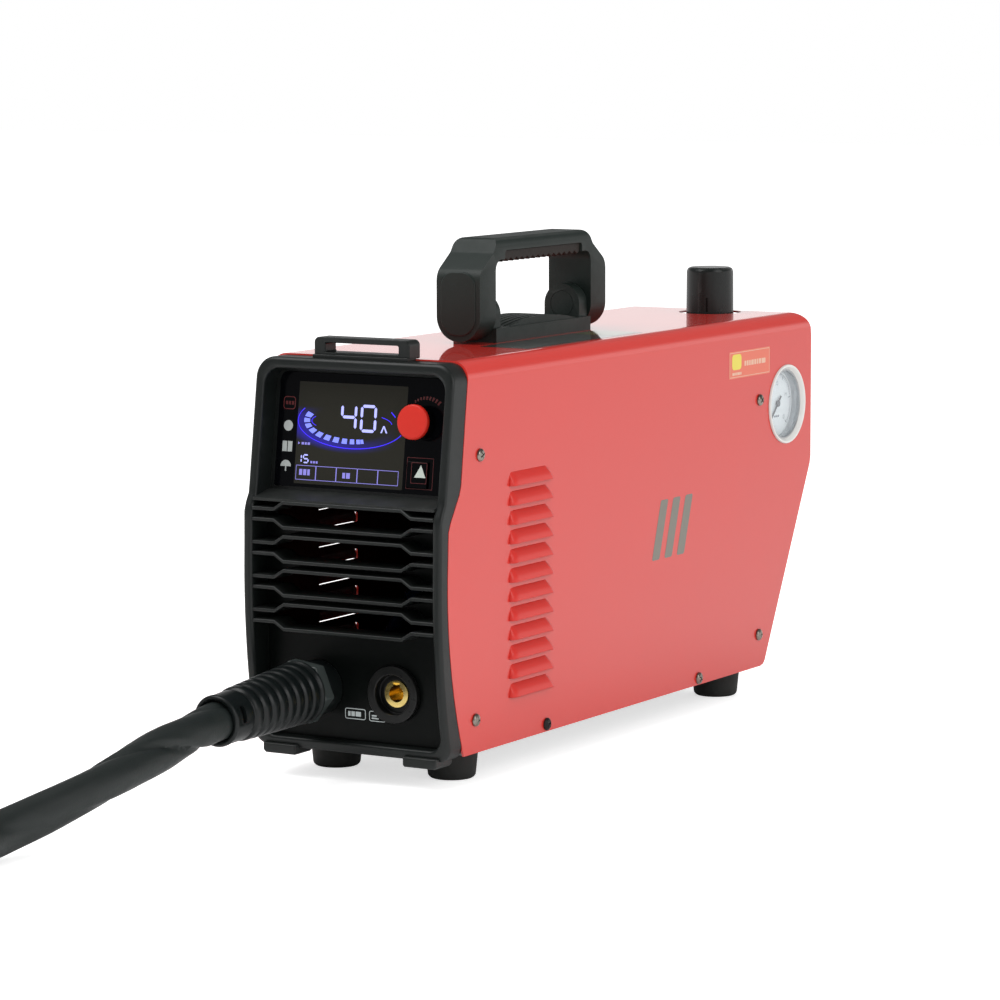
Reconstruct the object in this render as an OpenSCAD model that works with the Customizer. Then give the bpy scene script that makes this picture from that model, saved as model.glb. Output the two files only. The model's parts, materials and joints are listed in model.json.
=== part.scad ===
/* [Case] */
// Width over the painted cover
case_w = 125; // [116:1:150]
// Length from the front of the bezel to the rear edge of the hood
case_l = 437; // [420:1:480]
// Height of the cover
cover_h = 210; // [204:1:230]
// Height of the rubber feet
foot_h = 18; // [14:1:24]
// Thickness of the steel sheet of cover, base tray and rear panel
sheet_t = 1.2; // [0.8:0.1:1.6]
// Outside bend radius of the cover's two top edges
bend_r = 10; // [6:1:12]
// Depth of the hood behind the rear panel
hood_d = 62.5; // [60:0.5:70]
// Height of the knee where the hood's rear edge starts to slant, above the cover's bottom
knee_h = 119; // [100:1:130]
// Radius of the hood's top rear corners
hood_r = 14; // [6:1:20]

/* [Louvres] */
// Number of pressed louvres on each side
louvre_n = 12; // [4:1:12]
// Pitch of the louvres
louvre_pitch = 10.46; // [10:0.02:10.5]
// Length of a louvre
louvre_l = 51; // [30:1:55]
// Height of a louvre's pressed lip
louvre_h = 7.5; // [5:0.5:8]
// How far a louvre stands out of the side
louvre_out = 3.2; // [2:0.2:4]
// Distance of the louvres' front ends behind the front of the bezel
louvre_y = 71.5; // [68:0.5:80]

/* [Front bezel] */
// Half width of the bezel's opening
mouth_hw = 56.8; // [52:0.2:57]
// Wall of the moulded bezel behind its plates
bezel_wall = 2.5; // [2:0.1:3]
// Tilt of the display from upright
disp_tilt = 7.6; // [5:0.1:9]
// Depth of the connector plate behind the front
plate_d = 16.5; // [14:0.5:18]
// Width of the wide part of a grille slot
slot_w = 74.4; // [60:0.2:80]
// Distance between the wide parts of two grille slots
slot_land = 6.95; // [5:0.05:9]
// Height of a grille slot's narrow ends, between their ribs
slot_end_h = 3.9; // [3:0.1:6]
// Number of grille slots
slot_n = 4; // [2:1:4]
// Thickness of a grille rib
rib_t = 2; // [1.6:0.1:2.2]
// Half width of the strap loop on the top
loop_hw = 30; // [24:1:36]
// Height of the strap loop's slot
loop_slot = 6; // [5:0.5:8]

/* [Controls] */
// Diameter of the red adjusting knob
knob_d = 18.9; // [14:0.1:20]
// Length of the adjusting knob
knob_l = 10.5; // [8:0.5:14]
// Width of the push button
button_w = 13; // [9:0.5:14]
// Height of the push button
button_h = 14; // [9:0.5:15]
// Travel of the push button
button_travel = 1; // [0.5:0.1:1.2]
// Width of the liquid crystal display
lcd_w = 67; // [50:1:70]
// Height of the liquid crystal display
lcd_h = 53; // [40:1:55]

/* [Handle] */
// Length of the carrying handle over its legs
handle_l = 142.5; // [120:0.5:160]
// Width of the handle
handle_w = 28; // [24:1:30]
// Height of the grip's top above the cover
handle_h = 58; // [52:1:70]
// Thickness of the handle's legs along the case
leg_t = 17.5; // [12:0.5:22]
// Height of the grip over its insert
grip_h = 12; // [10:0.5:16]
// Thickness of the handle's base bar
base_bar_h = 8; // [6:0.5:9]
// Radius of the base's ears
ear_r = 11.5; // [8:0.5:12.5]
// Diameter of the handle's pivot bolts
pivot_d = 6; // [5:0.5:8]

/* [Connectors] */
// Distance of the torch gland and of the socket from the middle
port_x = 24.25; // [20:0.25:28]
// Height of the gland and of the socket above the cover's bottom
port_h = 31.5; // [26:0.5:34]
// Diameter of the socket's flange
socket_d = 31; // [26:0.5:34]
// Diameter of the brass insert of the socket
brass_d = 14.6; // [12:0.2:16]
// Bore of the socket for the earth-lead plug
socket_bore_d = 9; // [8:0.1:10]
// Diameter of the torch gland's body
gland_d = 30; // [24:0.5:32]
// Length of the gland's body before its nut
gland_l = 12; // [10:0.5:20]
// Width across flats of the gland's nut
gland_nut_af = 31; // [30:0.5:36]
// Length of the ribbed boot
boot_l = 80; // [70:1:100]
// Number of ribs on the boot
boot_ribs = 8; // [4:1:9]
// Diameter of the boot at its root
boot_root_d = 31; // [28:0.5:34]
// Diameter of the boot at its mouth
boot_end_d = 27; // [26:0.5:30]
// Diameter of the sleeved torch lead
lead_d = 22; // [18:0.5:22]

/* [Filter regulator] */
// Distance of the regulator's axis to the right of the middle
reg_x = 10; // [4:1:14]
// Distance of the regulator's axis before the hood's rear edge
reg_y = 33.5; // [32:0.5:36]
// Depth of the regulator's ports below the top of the cover
reg_port_d = 54; // [50:1:60]
// Diameter of the regulator's knob
reg_knob_d = 29; // [24:0.5:32]
// Height of the regulator's knob above the cover
reg_knob_h = 27.5; // [20:0.5:34]
// Diameter of the hole in the cover round the knob
reg_hole_d = 38; // [34:0.5:42]
// Lift of the regulator's knob that unlocks it
reg_lift = 3; // [2:0.5:4]
// Diameter of the gauge's face
gauge_d = 40; // [36:0.5:42]
// Diameter of the white ring round the gauge
gauge_ring_d = 48; // [46:0.5:52]
// Diameter of the filter bowl
bowl_d = 35; // [30:0.5:36]
// Length of the filter bowl
bowl_l = 54; // [40:1:56]

/* [Rear panel] */
// Size of the square fan
fan_w = 80; // [60:5:80]
// Depth of the fan
fan_t = 25; // [20:1:28]
// Clear diameter of the mains gland
mains_bore_d = 10; // [7:0.5:11]
// Width of the power switch's panel cut-out
switch_w = 22; // [18:0.5:24]
// Height of the power switch's panel cut-out
switch_h = 30; // [24:0.5:32]
// Angle between the rocker's two rest positions
rocker_swing = 20; // [14:1:24]

/* [Feet and screws] */
// Diameter of a foot where it meets the base
foot_top_d = 29; // [26:0.5:32]
// Diameter of a foot on the floor
foot_d = 26; // [22:0.5:28]
// Distance between the feet across the case
foot_gap_x = 73.8; // [60:0.2:76]
// Distance of the front feet behind the front of the bezel
foot_front = 53; // [40:1:70]
// Distance of the rear feet before the rear panel
foot_rear = 13.5; // [13:0.5:40]
// Diameter of the cover screws' heads
head_d = 7; // [6:0.2:8]
// Height of the cover screws' heads
head_h = 2.6; // [2:0.1:3]
// Thread diameter of the cover screws
screw_d = 4; // [3:0.5:4]

/* [Torch] */
// Length of the torch's handle
torch_l = 190; // [150:1:210]
// Diameter of the torch's handle
torch_d = 33; // [30:0.5:36]
// Diameter of the shield cup
cup_d = 21; // [18:0.5:24]
// Angle between the torch's handle and its head
torch_bend = 75; // [60:5:90]

/* [Hidden] */
$fn = 48;

gap = 0.3;                           // clearance between neighbouring pieces
slip = 0.05;                         // radial clearance of a turning or sliding fit
eps = 0.5;                           // overrun of a cut past a face
half_w = case_w / 2;
front_y = -case_l / 2;               // front of the bezel
rear_y = case_l / 2;                 // rear edge of the hood
low_z = foot_h;                      // bottom edge of the cover
top_z = foot_h + cover_h;            // top of the cover
in_hw = half_w - sheet_t;            // half width inside the cover
panel_y = rear_y - hood_d;           // rear face of the rear panel
floor_z = low_z + sheet_t;           // top of the base tray's floor

// Arc of radius r about c from angle a0 to a1 in n steps
function arc(c, r, a0, a1, n) =
    [for (i = [0:n]) c + r * [cos(a0 + (a1 - a0) * i / n), sin(a0 + (a1 - a0) * i / n)]];
// Rectangle from (x0, z0) to (x1, z1) with lower corners of radius rl and upper ones of radius ru
function round_rect(x0, z0, x1, z1, rl, ru, n = 6) = concat(
    arc([x0 + rl, z0 + rl], rl, 180, 270, n), arc([x1 - rl, z0 + rl], rl, 270, 360, n),
    arc([x1 - ru, z1 - ru], ru, 0, 90, n), arc([x0 + ru, z1 - ru], ru, 90, 180, n));
function unit(v) = v / norm(v);
// Arc of radius r that rounds the corner b of the line a, b, c
function corner(a, b, c, r, n = 5) =
    let (u = unit(a - b), v = unit(c - b), half = acos(u * v) / 2,
         o = b + unit(u + v) * r / sin(half),
         p = b + u * r / tan(half), q = b + v * r / tan(half),
         a0 = atan2(p[1] - o[1], p[0] - o[0]), a1 = atan2(q[1] - o[1], q[0] - o[0]),
         turn = (a1 - a0 + 540) % 360 - 180)
    arc(o, r, a0, a0 + turn, n);

// Extrusion of a Y-Z outline from x0 to x1, and of an X-Z outline from y0 to y1
module across(x0, x1) translate([x0, 0, 0]) rotate([90, 0, 90]) linear_extrude(x1 - x0) children();
module along(y0, y1) translate([0, y1, 0]) rotate([90, 0, 0]) linear_extrude(y1 - y0) children();
// Box between two corners
module box(a, b) translate(a) cube(b - a);
// Round bar of diameter d from a point along +X, +Y or +Z
module bar_x(p, d, l) translate(p) rotate([0, 90, 0]) cylinder(d = d, h = l);
module bar_y(p, d, l) translate(p) rotate([-90, 0, 0]) cylinder(d = d, h = l);
module bar_z(p, d, l) translate(p) cylinder(d = d, h = l);
// Copies on both sides of the case
module both() { children(); mirror([1, 0, 0]) children(); }

// ---- Case outlines, as [y, z] points from bottom to top ----
crown_z = low_z + 90;                // height at which the front bulges most
cover_front = front_y + 7.5;         // the cover's front edge at its bulge
cover_bulge_r = 265;
bezel_bulge_r = 430;
function bulge(y, r, z) = y + r - sqrt(r * r - (z - crown_z) * (z - crown_z));
mouth_low = low_z + 4;               // bottom of the bezel's opening
mouth_top = top_z - 7;               // top of the bezel's opening
disp_z = mouth_top - 33;             // middle of the display
step_z = disp_z - 47;                // where the front steps back under the display
cover_top_y = front_y + 30;
cover_step = [[cover_front + 1.1, step_z], [front_y + 21.2, step_z + 19.5]];
bezel_step = [[front_y + 0.7, step_z + 5.5], [front_y + 5.2, step_z + 13]];
bezel_top = front_y + 15.4;
function front_line(y, r, step, top, z0, z1, rs) = concat(
    [for (i = [0:8]) let (z = z0 + (step_z - 16 - z0) * i / 8) [bulge(y, r, z), z]],
    corner([bulge(y, r, step_z - 16), step_z - 16], step[0], step[1], rs),
    corner(step[0], step[1], [top, z1], rs), [[top, z1]]);
cover_edge = front_line(cover_front, cover_bulge_r, cover_step, cover_top_y, low_z, top_z, 12);
bezel_low = low_z - 2;               // the bezel hangs a little below the cover
bezel_top_z = top_z - 0.8;
bezel_edge = front_line(front_y, bezel_bulge_r, bezel_step, bezel_top, bezel_low, bezel_top_z, 5);
knee_z = low_z + knee_h;

// ---- Cover screws: [y, height above the cover's bottom] ----
side_screws = [
    [front_y + 40.7, 159.6], [front_y + 35.2, 18],
    [panel_y - 7, 161.4], [panel_y - 7, 19.5]
];
rail_screws = [[panel_y - 84.2, 4]];
black_screw = [front_y + 111.2, 4.2];
cover_screw_seats = concat(side_screws, rail_screws, [black_screw]);
reg_pos = [reg_x, rear_y - reg_y, top_z - reg_port_d];

module sheet_profile(hw, z1, r) {
    polygon(concat([[-hw, low_z]], [[hw, low_z]], arc([hw - r, z1 - r], r, 0, 90, 8),
                   arc([r - hw, z1 - r], r, 90, 180, 8)));
}
louvre_z0 = low_z + 24.6;            // lower edge of the lowest louvre
louvre_y0 = front_y + louvre_y;
lip_t = 1;                           // sheet thickness left in a pressed lip
module louvre_shape(inset) {
    // Pressed scoop, open at the bottom, with its side ends closed
    w = half_w - sheet_t - eps * (inset > 0 ? 1 : 0);
    polygon([[w, -inset], [half_w + louvre_out - inset, -inset],
             [half_w + louvre_out - inset, louvre_h * 0.28],
             [half_w + louvre_out * 0.6 - inset, louvre_h * 0.7 - inset * 0.6],
             [half_w, louvre_h - inset * 1.4], [w, louvre_h - inset * 1.4]]);
}
module louvre_row(inset, short) {
    for (i = [0:louvre_n - 1])
        translate([0, 0, louvre_z0 + i * louvre_pitch])
            along(louvre_y0 + short, louvre_y0 + louvre_l - short) louvre_shape(inset);
}
handle_y = front_y + 193.75;         // middle of the handle along the case
handle_screw_y = handle_l / 2 - leg_t - 26;

module cover() color("crimson") difference() {
    union() {
        intersection() {
            difference() {
                along(front_y, rear_y + eps) sheet_profile(half_w, top_z, bend_r);
                along(front_y - eps, rear_y + 2 * eps) translate([0, -eps])
                    sheet_profile(in_hw, top_z - sheet_t + eps, bend_r - sheet_t);
            }
            across(-half_w - eps, half_w + eps) polygon(concat(cover_edge,
                arc([rear_y - hood_r, top_z - hood_r], hood_r, 90, 0, 8), [[rear_y, knee_z]],
                corner([rear_y, knee_z], [panel_y + gap, low_z], [panel_y - 20, low_z], 5)));
        }
        both() louvre_row(0, 0);
    }
    both() louvre_row(lip_t, lip_t);
    both() for (s = cover_screw_seats)
        bar_x([half_w - sheet_t - eps, s[0], low_z + s[1]], screw_d + 2 * gap, sheet_t + 2 * eps);
    bar_z([reg_pos[0], reg_pos[1], top_z - sheet_t - eps], reg_hole_d, sheet_t + 2 * eps);
    bar_x([half_w - sheet_t - eps, reg_pos[1], reg_pos[2]], gauge_ring_d - 3, sheet_t + 2 * eps);
    for (y = [-1, 1])
        bar_z([0, handle_y + y * handle_screw_y, top_z - sheet_t - eps], 5 + gap, sheet_t + 2 * eps);
}

// ---- Base tray and feet ----
tray_hw = in_hw - 0.1;
tray_front = front_y + 26;
flange_h = 16;
feet = [for (x = [-1, 1], y = [front_y + foot_front, panel_y - foot_rear])
    [x * foot_gap_x / 2, y]];
foot_screw_d = 5;
module base_tray() color("silver") difference() {
    union() {
        box([-tray_hw, tray_front, low_z], [tray_hw, panel_y - sheet_t, floor_z]);
        both() box([tray_hw - sheet_t, front_y + 50, low_z],
                   [tray_hw, panel_y - sheet_t - 16, low_z + flange_h]);
        box([-tray_hw + 3, panel_y - 2 * sheet_t, low_z], [tray_hw - 3, panel_y - sheet_t, low_z + 12]);
    }
    both() for (s = concat(rail_screws, [black_screw]))
        bar_x([tray_hw - sheet_t - eps, s[0], low_z + s[1]], screw_d + 2 * slip, sheet_t + 2 * eps);
    for (p = feet) bar_z([p[0], p[1], low_z - eps], foot_screw_d + gap, sheet_t + 2 * eps);
}
module rubber_feet() color("dimgray") for (p = feet) translate([p[0], p[1], 0])
    rotate_extrude() polygon([
        [foot_screw_d / 2 + slip, 5], [6, 5], [6, 0], [foot_d / 2 - 1.5, 0], [foot_d / 2, 1.5],
        [foot_top_d / 2, foot_h - 2], [foot_top_d / 2, foot_h], [foot_screw_d / 2 + slip, foot_h]]);
module foot_screws() color("silver") for (p = feet) translate([p[0], p[1], 0]) {
    bar_z([0, 0, 5 - 3], 9.5, 3);
    bar_z([0, 0, 4.5], foot_screw_d, foot_h + sheet_t + 4 - 4.5);
    bar_z([0, 0, floor_z], 9, 3.5);
}

// ---- Front bezel ----
plate_y = front_y + plate_d;         // front face of the connector plate
plate_t = bezel_wall;
disp_y = front_y + 22;               // front face of the display window at its middle
window_t = 1.5;
lip_back = front_y + 47;             // rear edge of the bezel's lip inside the cover
lip_hw = in_hw - 0.2;
lip_wall = bezel_wall;
grille_top = disp_z - 37.4;          // underside of the ledge below the display
grille_low = low_z + 61.225;         // middle of the land below the lowest grille slot
grille_high = grille_top + 2.025;    // middle of the land above the highest grille slot
slot_pitch = (grille_high - grille_low) / slot_n;
slot_h = slot_pitch - slot_land;     // height of a slot's wide part, between its ribs
ledge_z = grille_top + 5;
function disp_plane(z, back) = disp_y + back / cos(disp_tilt) + (z - disp_z) * tan(disp_tilt);
// Places its children on the display's face: X across, Y up the face, Z out of it
module on_face(out = 0) translate([0, disp_y, disp_z]) rotate([90 - disp_tilt, 0, 0])
    translate([0, 0, out]) children();
window_hw = 53.5;
window_h = 62;
lcd_pos = [-5.8, -0.9];
knob_pos = [37.2, 7.1];
button_pos = [37, -20.6];
button_slot = 0.4;
slots_z = grille_low + slot_pitch / 2;  // middle of the lowest grille slot
slot_taper = 6;                      // length over which a slot narrows
module slot_outline(grow) {
    // One grille slot: wide in the middle, necked at both ends
    w = slot_w / 2;
    h = slot_h / 2 + grow;
    e = slot_end_h / 2 + grow;
    polygon([[-mouth_hw, -e], [-w - slot_taper, -e], [-w, -h], [w, -h], [w + slot_taper, -e],
             [mouth_hw, -e], [mouth_hw, e], [w + slot_taper, e], [w, h], [-w, h],
             [-w - slot_taper, e], [-mouth_hw, e]]);
}
module slots(grow) {
    for (i = [0:slot_n - 1]) translate([0, slots_z + i * slot_pitch]) slot_outline(grow);
}
rib_front = front_y + 1.2;           // the ribs stand just behind the bezel's front
loop_y = front_y + 22.5;
loop_d = 11.5;
loop_bar = 3;
loop_z = bezel_top_z + 2;            // bottom of the strap loop's slot
loop_post = 7;
module front_bezel() color("dimgray") {
    difference() {
        union() {
            // Visible frame, flush with the cover
            intersection() {
                along(front_y - 1, lip_back)
                    polygon(round_rect(-half_w + 0.2, bezel_low, half_w - 0.2, bezel_top_z, 9, 11));
                across(-half_w, half_w) polygon(concat(bezel_edge,
                    [for (i = [len(cover_edge) - 1:-1:0])
                        [cover_edge[i][0] - gap, min(cover_edge[i][1], bezel_top_z)]],
                    [[cover_edge[0][0] - gap, bezel_low]]));
            }
            // Lip inside the cover
            intersection() {
                along(front_y + 3, lip_back)
                    polygon(round_rect(-lip_hw, floor_z + 0.2, lip_hw, top_z - sheet_t - 0.2, 6,
                                       bend_r - sheet_t));
                across(-half_w, half_w) polygon(concat(
                    [for (p = bezel_edge) [p[0] + 4, p[1]]],
                    [[bezel_top + 4, top_z], [lip_back, top_z], [lip_back, bezel_low]]));
            }
            // Pads below the front corners
            both() box([foot_gap_x / 2 - 3, front_y + 7, bezel_low - 3.5],
                       [foot_gap_x / 2 + 18, front_y + 24, bezel_low + 2]);
        }
        // Opening before the connector plate and the grille
        intersection() {
            along(front_y - 2, lip_back)
                polygon(round_rect(-mouth_hw, mouth_low, mouth_hw, mouth_top, 8, 9));
            across(-half_w, half_w) union() {
                polygon([[front_y - 2, 0], [plate_y, 0], [plate_y, grille_top],
                         [front_y - 2, grille_top]]);
                polygon([[front_y - 2, grille_top + 1.5], [front_y + 2.5, grille_top + 1.5],
                         [disp_plane(ledge_z, window_t), ledge_z],
                         [disp_plane(top_z, window_t), top_z], [front_y - 2, top_z]]);
            }
        }
        // Hollow behind the plates
        intersection() {
            along(front_y, lip_back + 1)
                polygon(round_rect(-lip_hw + lip_wall, floor_z + 0.2 + lip_wall, lip_hw - lip_wall,
                                   top_z - sheet_t - 0.2 - lip_wall, 4, 6));
            across(-half_w, half_w) polygon([
                [plate_y + plate_t, 0], [plate_y + plate_t, grille_top + plate_t],
                [disp_plane(ledge_z, window_t) + plate_t, ledge_z + plate_t],
                [disp_plane(top_z, window_t) + plate_t, top_z], [lip_back + 1, top_z],
                [lip_back + 1, 0]]);
        }
        // Grille slots through the plate
        along(plate_y - 1, plate_y + plate_t + 1) slots(0);
        // Display window, knob shaft and button
        on_face(-window_t - plate_t - 2) linear_extrude(plate_t + 3) {
            translate(lcd_pos) square([lcd_w + 2 * gap, lcd_h + 2 * gap], center = true);
            translate(button_pos)
                square([button_w + 2 * button_slot, button_h + 2 * button_slot], center = true);
        }
        on_face(-window_t - plate_t - 2) translate(knob_pos) cylinder(d = 10, h = plate_t + 3);
        bar_y([port_x, plate_y - 1, low_z + port_h], socket_d - 6, plate_t + 2);
        bar_y([-port_x, plate_y - 1, low_z + port_h], gland_d - 6, plate_t + 2);
        both() for (s = [side_screws[0], side_screws[1]])
            bar_x([half_w - 10, s[0], low_z + s[1]], screw_d + 2 * slip, 10);
        for (x = [-1, 1]) bar_z([x * 30, lip_back - 6, low_z], screw_d, 8);
    }
    // Ribs that outline the slots
    along(rib_front, plate_y + 0.5) intersection() {
        polygon(round_rect(-mouth_hw - 0.5, mouth_low, mouth_hw + 0.5, mouth_top, 8, 9));
        difference() {
            slots(rib_t);
            slots(0);
        }
    }
    // Strap loop
    difference() {
        along(loop_y, loop_y + loop_d) polygon(round_rect(-loop_hw, bezel_top_z + gap + 0.9, loop_hw,
            loop_z + loop_slot + loop_bar, 0.8, 3));
        along(loop_y - eps, loop_y + loop_d + eps) polygon(round_rect(
            loop_post - loop_hw, loop_z + 1, loop_hw - loop_post, loop_z + loop_slot, 1, 1));
    }
    box([-loop_hw, loop_y - 2, bezel_top_z - 2], [loop_hw, cover_top_y - gap, bezel_top_z + 2]);
}
module display_window() color("black") on_face(0) translate([0, 0, -window_t]) difference() {
    linear_extrude(window_t)
        polygon(round_rect(-window_hw, -window_h / 2, window_hw, window_h / 2, 1, 5));
    translate([knob_pos[0], knob_pos[1], -eps]) cylinder(d = 9, h = window_t + 2 * eps);
    translate([button_pos[0], button_pos[1], window_t / 2])
        cube([button_w + 2 * button_slot, button_h + 2 * button_slot, window_t + 2 * eps], center = true);
}
board_back = 14;                     // distance of the control board's front behind the window's face
lcd_t = 5;
module display_module() color("darkslateblue") on_face(-window_t - lcd_t) {
    translate([lcd_pos[0], lcd_pos[1], lcd_t / 2]) cube([lcd_w, lcd_h, lcd_t], center = true);
    translate([lcd_pos[0], lcd_pos[1], (window_t + lcd_t - board_back) / 2])
        cube([lcd_w - 8, lcd_h - 10, board_back - window_t - lcd_t], center = true);
}
module control_board() color("darkgreen") on_face(-board_back - 1.6) {
    difference() {
        translate([0, 0, 0.8]) cube([2 * window_hw - 7, window_h - 8, 1.6], center = true);
        translate([knob_pos[0], knob_pos[1], -eps]) cylinder(d = 4, h = 3);
    }
    // Posts that carry the board on the back of the bezel's plate
    for (x = [7.5 - window_hw, window_hw - 6.5], y = [7 - window_h / 2, window_h / 2 - 7])
        translate([x, y, 1.6])
        cylinder(d = 5, h = board_back - window_t - plate_t);
    // Key under the push button
    translate([button_pos[0], button_pos[1], 1.6 + 2]) cube([6, 6, 4], center = true);
}
shaft_d = 6;
module rotary_encoder() color("silver") on_face(-board_back) translate([knob_pos[0], knob_pos[1], 0]) {
    translate([0, 0, 3.2]) cube([12, 12, 6.4], center = true);
    cylinder(d = 7, h = board_back - 2);
    cylinder(d = shaft_d, h = board_back + knob_l - 3);
}
module adjust_knob() color("red") on_face(0.6) translate([knob_pos[0], knob_pos[1], 0]) difference() {
    rotate_extrude() polygon([
        [0, 0], [knob_d / 2 - 1, 0], [knob_d / 2 - 0.2, 1], [knob_d / 2, knob_l - 2.6],
        [knob_d / 2 - 0.5, knob_l - 1.3], [knob_d / 2 - 1.8, knob_l - 0.6], [0, knob_l - 0.6]]);
    translate([0, 0, -eps]) cylinder(r = shaft_d / 2 + slip, h = knob_l - 3 + eps);
}
button_out = 1.2;
module push_button() color("darkslategray") on_face(0) translate([button_pos[0], button_pos[1], 0]) {
    translate([0, 0, (button_out - window_t) / 2])
        cube([button_w, button_h, button_out + window_t], center = true);
    translate([0, 0, -board_back + 4 + button_travel + gap]) cylinder(d = 5,
        h = board_back - 4 - button_travel - gap - window_t + 0.2);
}

// ---- Folding handle ----
pivot_z = top_z + handle_w / 2 + 1.2;
leg_hw = handle_w / 2;
base_l = handle_l - 2 * leg_t - 2 * gap;
ear_t = 9;
grip_l = handle_l - 2 * leg_t;
insert_t = 4;
arch_r = 190;                        // top of the base's ribs
arch_a = acos((base_l / 2 - ear_t) / arch_r);
module handle_base() color("dimgray") translate([0, handle_y, 0]) difference() {
    union() {
        box([-leg_hw, -base_l / 2, top_z], [leg_hw, base_l / 2, top_z + base_bar_h]);
        // Low arched middle with ribs
        intersection() {
            across(-leg_hw + 1, leg_hw - 1) polygon(concat(
                [[-base_l / 2 + ear_t, top_z]], [[base_l / 2 - ear_t, top_z]],
                arc([0, top_z + base_bar_h + 4 - arch_r], arch_r, arch_a, 180 - arch_a, 10)));
            for (x = [-3:3]) box([x * 3.9 - 1.3, -base_l / 2, top_z],
                                 [x * 3.9 + 1.3, base_l / 2, top_z + 20]);
        }
        for (s = [-1, 1]) translate([0, s * (base_l - ear_t) / 2, 0]) {
            bar_y([0, -ear_t / 2, pivot_z], 2 * ear_r, ear_t);
            box([-ear_r, -ear_t / 2, top_z], [ear_r, ear_t / 2, pivot_z]);
        }
    }
    for (s = [-1, 1]) {
        bar_y([0, s * base_l / 2 - 20, pivot_z], pivot_d + 2 * slip, 40);
        // Round pocket for the bolt's head
        bar_y([0, s * (base_l / 2 - ear_t) - 4, pivot_z], 15, 8);
        bar_z([0, s * handle_screw_y, top_z - eps], 4.2, base_bar_h + 1);
    }
}
// Side outline of the bail's outer edge over one leg, from the leg up to the grip's top
module bail_outline() {
    e = handle_l / 2;
    t = top_z + handle_h;
    polygon(concat([[-e, pivot_z]],
        corner([-e, pivot_z], [-e, t - 19], [-e + 17, t - 5], 9),
        corner([-e, t - 19], [-e + 15, t - 8], [-e + 21, t], 6),
        corner([-e + 15, t - 8], [-e + 20.5, t], [0, t], 4),
        corner([0, t], [e - 20.5, t], [e - 15, t - 8], 4),
        corner([e - 21, t], [e - 15, t - 8], [e, t - 19], 6),
        corner([e - 17, t - 5], [e, t - 19], [e, pivot_z], 9), [[e, pivot_z]]));
}
module handle_bail() color("dimgray") translate([0, handle_y, 0]) difference() {
    intersection() {
        union() {
            across(-leg_hw, leg_hw) bail_outline();
            for (s = [-1, 1]) bar_y([0, s > 0 ? handle_l / 2 - leg_t : -handle_l / 2, pivot_z],
                                    handle_w, leg_t);
        }
        along(-handle_l, handle_l) polygon(round_rect(-leg_hw, top_z - 10, leg_hw,
                                                      top_z + handle_h, leg_hw, 5));
    }
    across(-leg_hw - 1, leg_hw + 1) polygon(round_rect(
        -handle_l / 2 + leg_t, top_z - 20, handle_l / 2 - leg_t, top_z + handle_h - grip_h, 1, 6));
    for (s = [-1, 1]) bar_y([0, s * (handle_l / 2 - leg_t) - 12, pivot_z], pivot_d + 2 * slip, 24);
    // Seat of the grip insert
    box([-leg_hw + 3, -grip_l / 2 + 7, top_z + handle_h - grip_h - 1],
        [leg_hw - 3, grip_l / 2 - 7, top_z + handle_h - grip_h + insert_t]);
}
grip_rib = 6;                        // pitch of the cross ribs under the fingers
grip_ribs = floor((grip_l / 2 - 9) / grip_rib);
module handle_grip() color("dimgray") translate([0, handle_y, 0]) {
    box([-leg_hw + 3.1, -grip_l / 2 + 7.1, top_z + handle_h - grip_h - 1.6],
        [leg_hw - 3.1, grip_l / 2 - 7.1, top_z + handle_h - grip_h + insert_t]);
    // Cross ribs under the fingers
    for (i = [-grip_ribs:grip_ribs])
        box([-leg_hw + 3.6, i * grip_rib - 1.6, top_z + handle_h - grip_h - 2.4],
            [leg_hw - 3.6, i * grip_rib + 1.6, top_z + handle_h - grip_h - 1.5]);
}
module handle_pivots() color("silver") translate([0, handle_y, 0]) for (s = [-1, 1]) scale([1, s, 1]) {
    bar_y([0, base_l / 2 - ear_t + 0.5, pivot_z], 12, 3.5);
    bar_y([0, base_l / 2 - ear_t + 1, pivot_z], pivot_d, ear_t + 11);
}
module handle_screws() color("silver") translate([0, handle_y, 0]) for (s = [-1, 1])
    translate([0, s * handle_screw_y, 0]) {
        bar_z([0, 0, top_z - sheet_t - 3], 9, 3);
        bar_z([0, 0, top_z - sheet_t - 1], 4.2 - 2 * slip, base_bar_h - 1);
    }

// ---- Cover screws ----
module side_screw(s, grip) {
    bar_x([half_w, s[0], low_z + s[1]], head_d, head_h);
    bar_x([half_w - grip, s[0], low_z + s[1]], screw_d, grip + 1);
}
module cover_screws() color("silver") both() {
    for (s = side_screws) side_screw(s, 7);
    for (s = rail_screws) side_screw(s, 6);
}
module black_screws() color("black") both() side_screw(black_screw, 6);

// ---- Earth-lead socket ----
port_z = low_z + port_h;
socket_out = 4;
insert_back = 22;
module socket_body() color("black") difference() {
    union() {
        bar_y([port_x, plate_y - socket_out, port_z], socket_d, socket_out);
        bar_y([port_x, plate_y - 1, port_z], socket_d - 6 - 2 * slip, insert_back);
    }
    bar_y([port_x, plate_y - socket_out - eps, port_z], brass_d + 7, socket_out + eps + 1);
    bar_y([port_x, plate_y - 1, port_z], brass_d + 2 * slip, insert_back + 2);
}
module socket_insert() color("gold") difference() {
    union() {
        bar_y([port_x, plate_y + 0.5, port_z], brass_d, insert_back + 4);
        bar_y([port_x, plate_y + insert_back - 1 + 0.1, port_z], brass_d + 5, 3);
    }
    bar_y([port_x, plate_y, port_z], socket_bore_d, insert_back - 3);
    // Keyway for the plug's lug
    box([port_x - 2.1, plate_y, port_z], [port_x + 2.1, plate_y + 4, port_z + brass_d / 2 - 1.2]);
}
module socket_nut() color("dimgray") difference() {
    translate([port_x, plate_y + plate_t, port_z]) rotate([-90, 0, 0])
        cylinder(d = socket_d + 1, h = 5, $fn = 6);
    bar_y([port_x, plate_y, port_z], socket_d - 6 + 2 * slip, 20);
}

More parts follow.
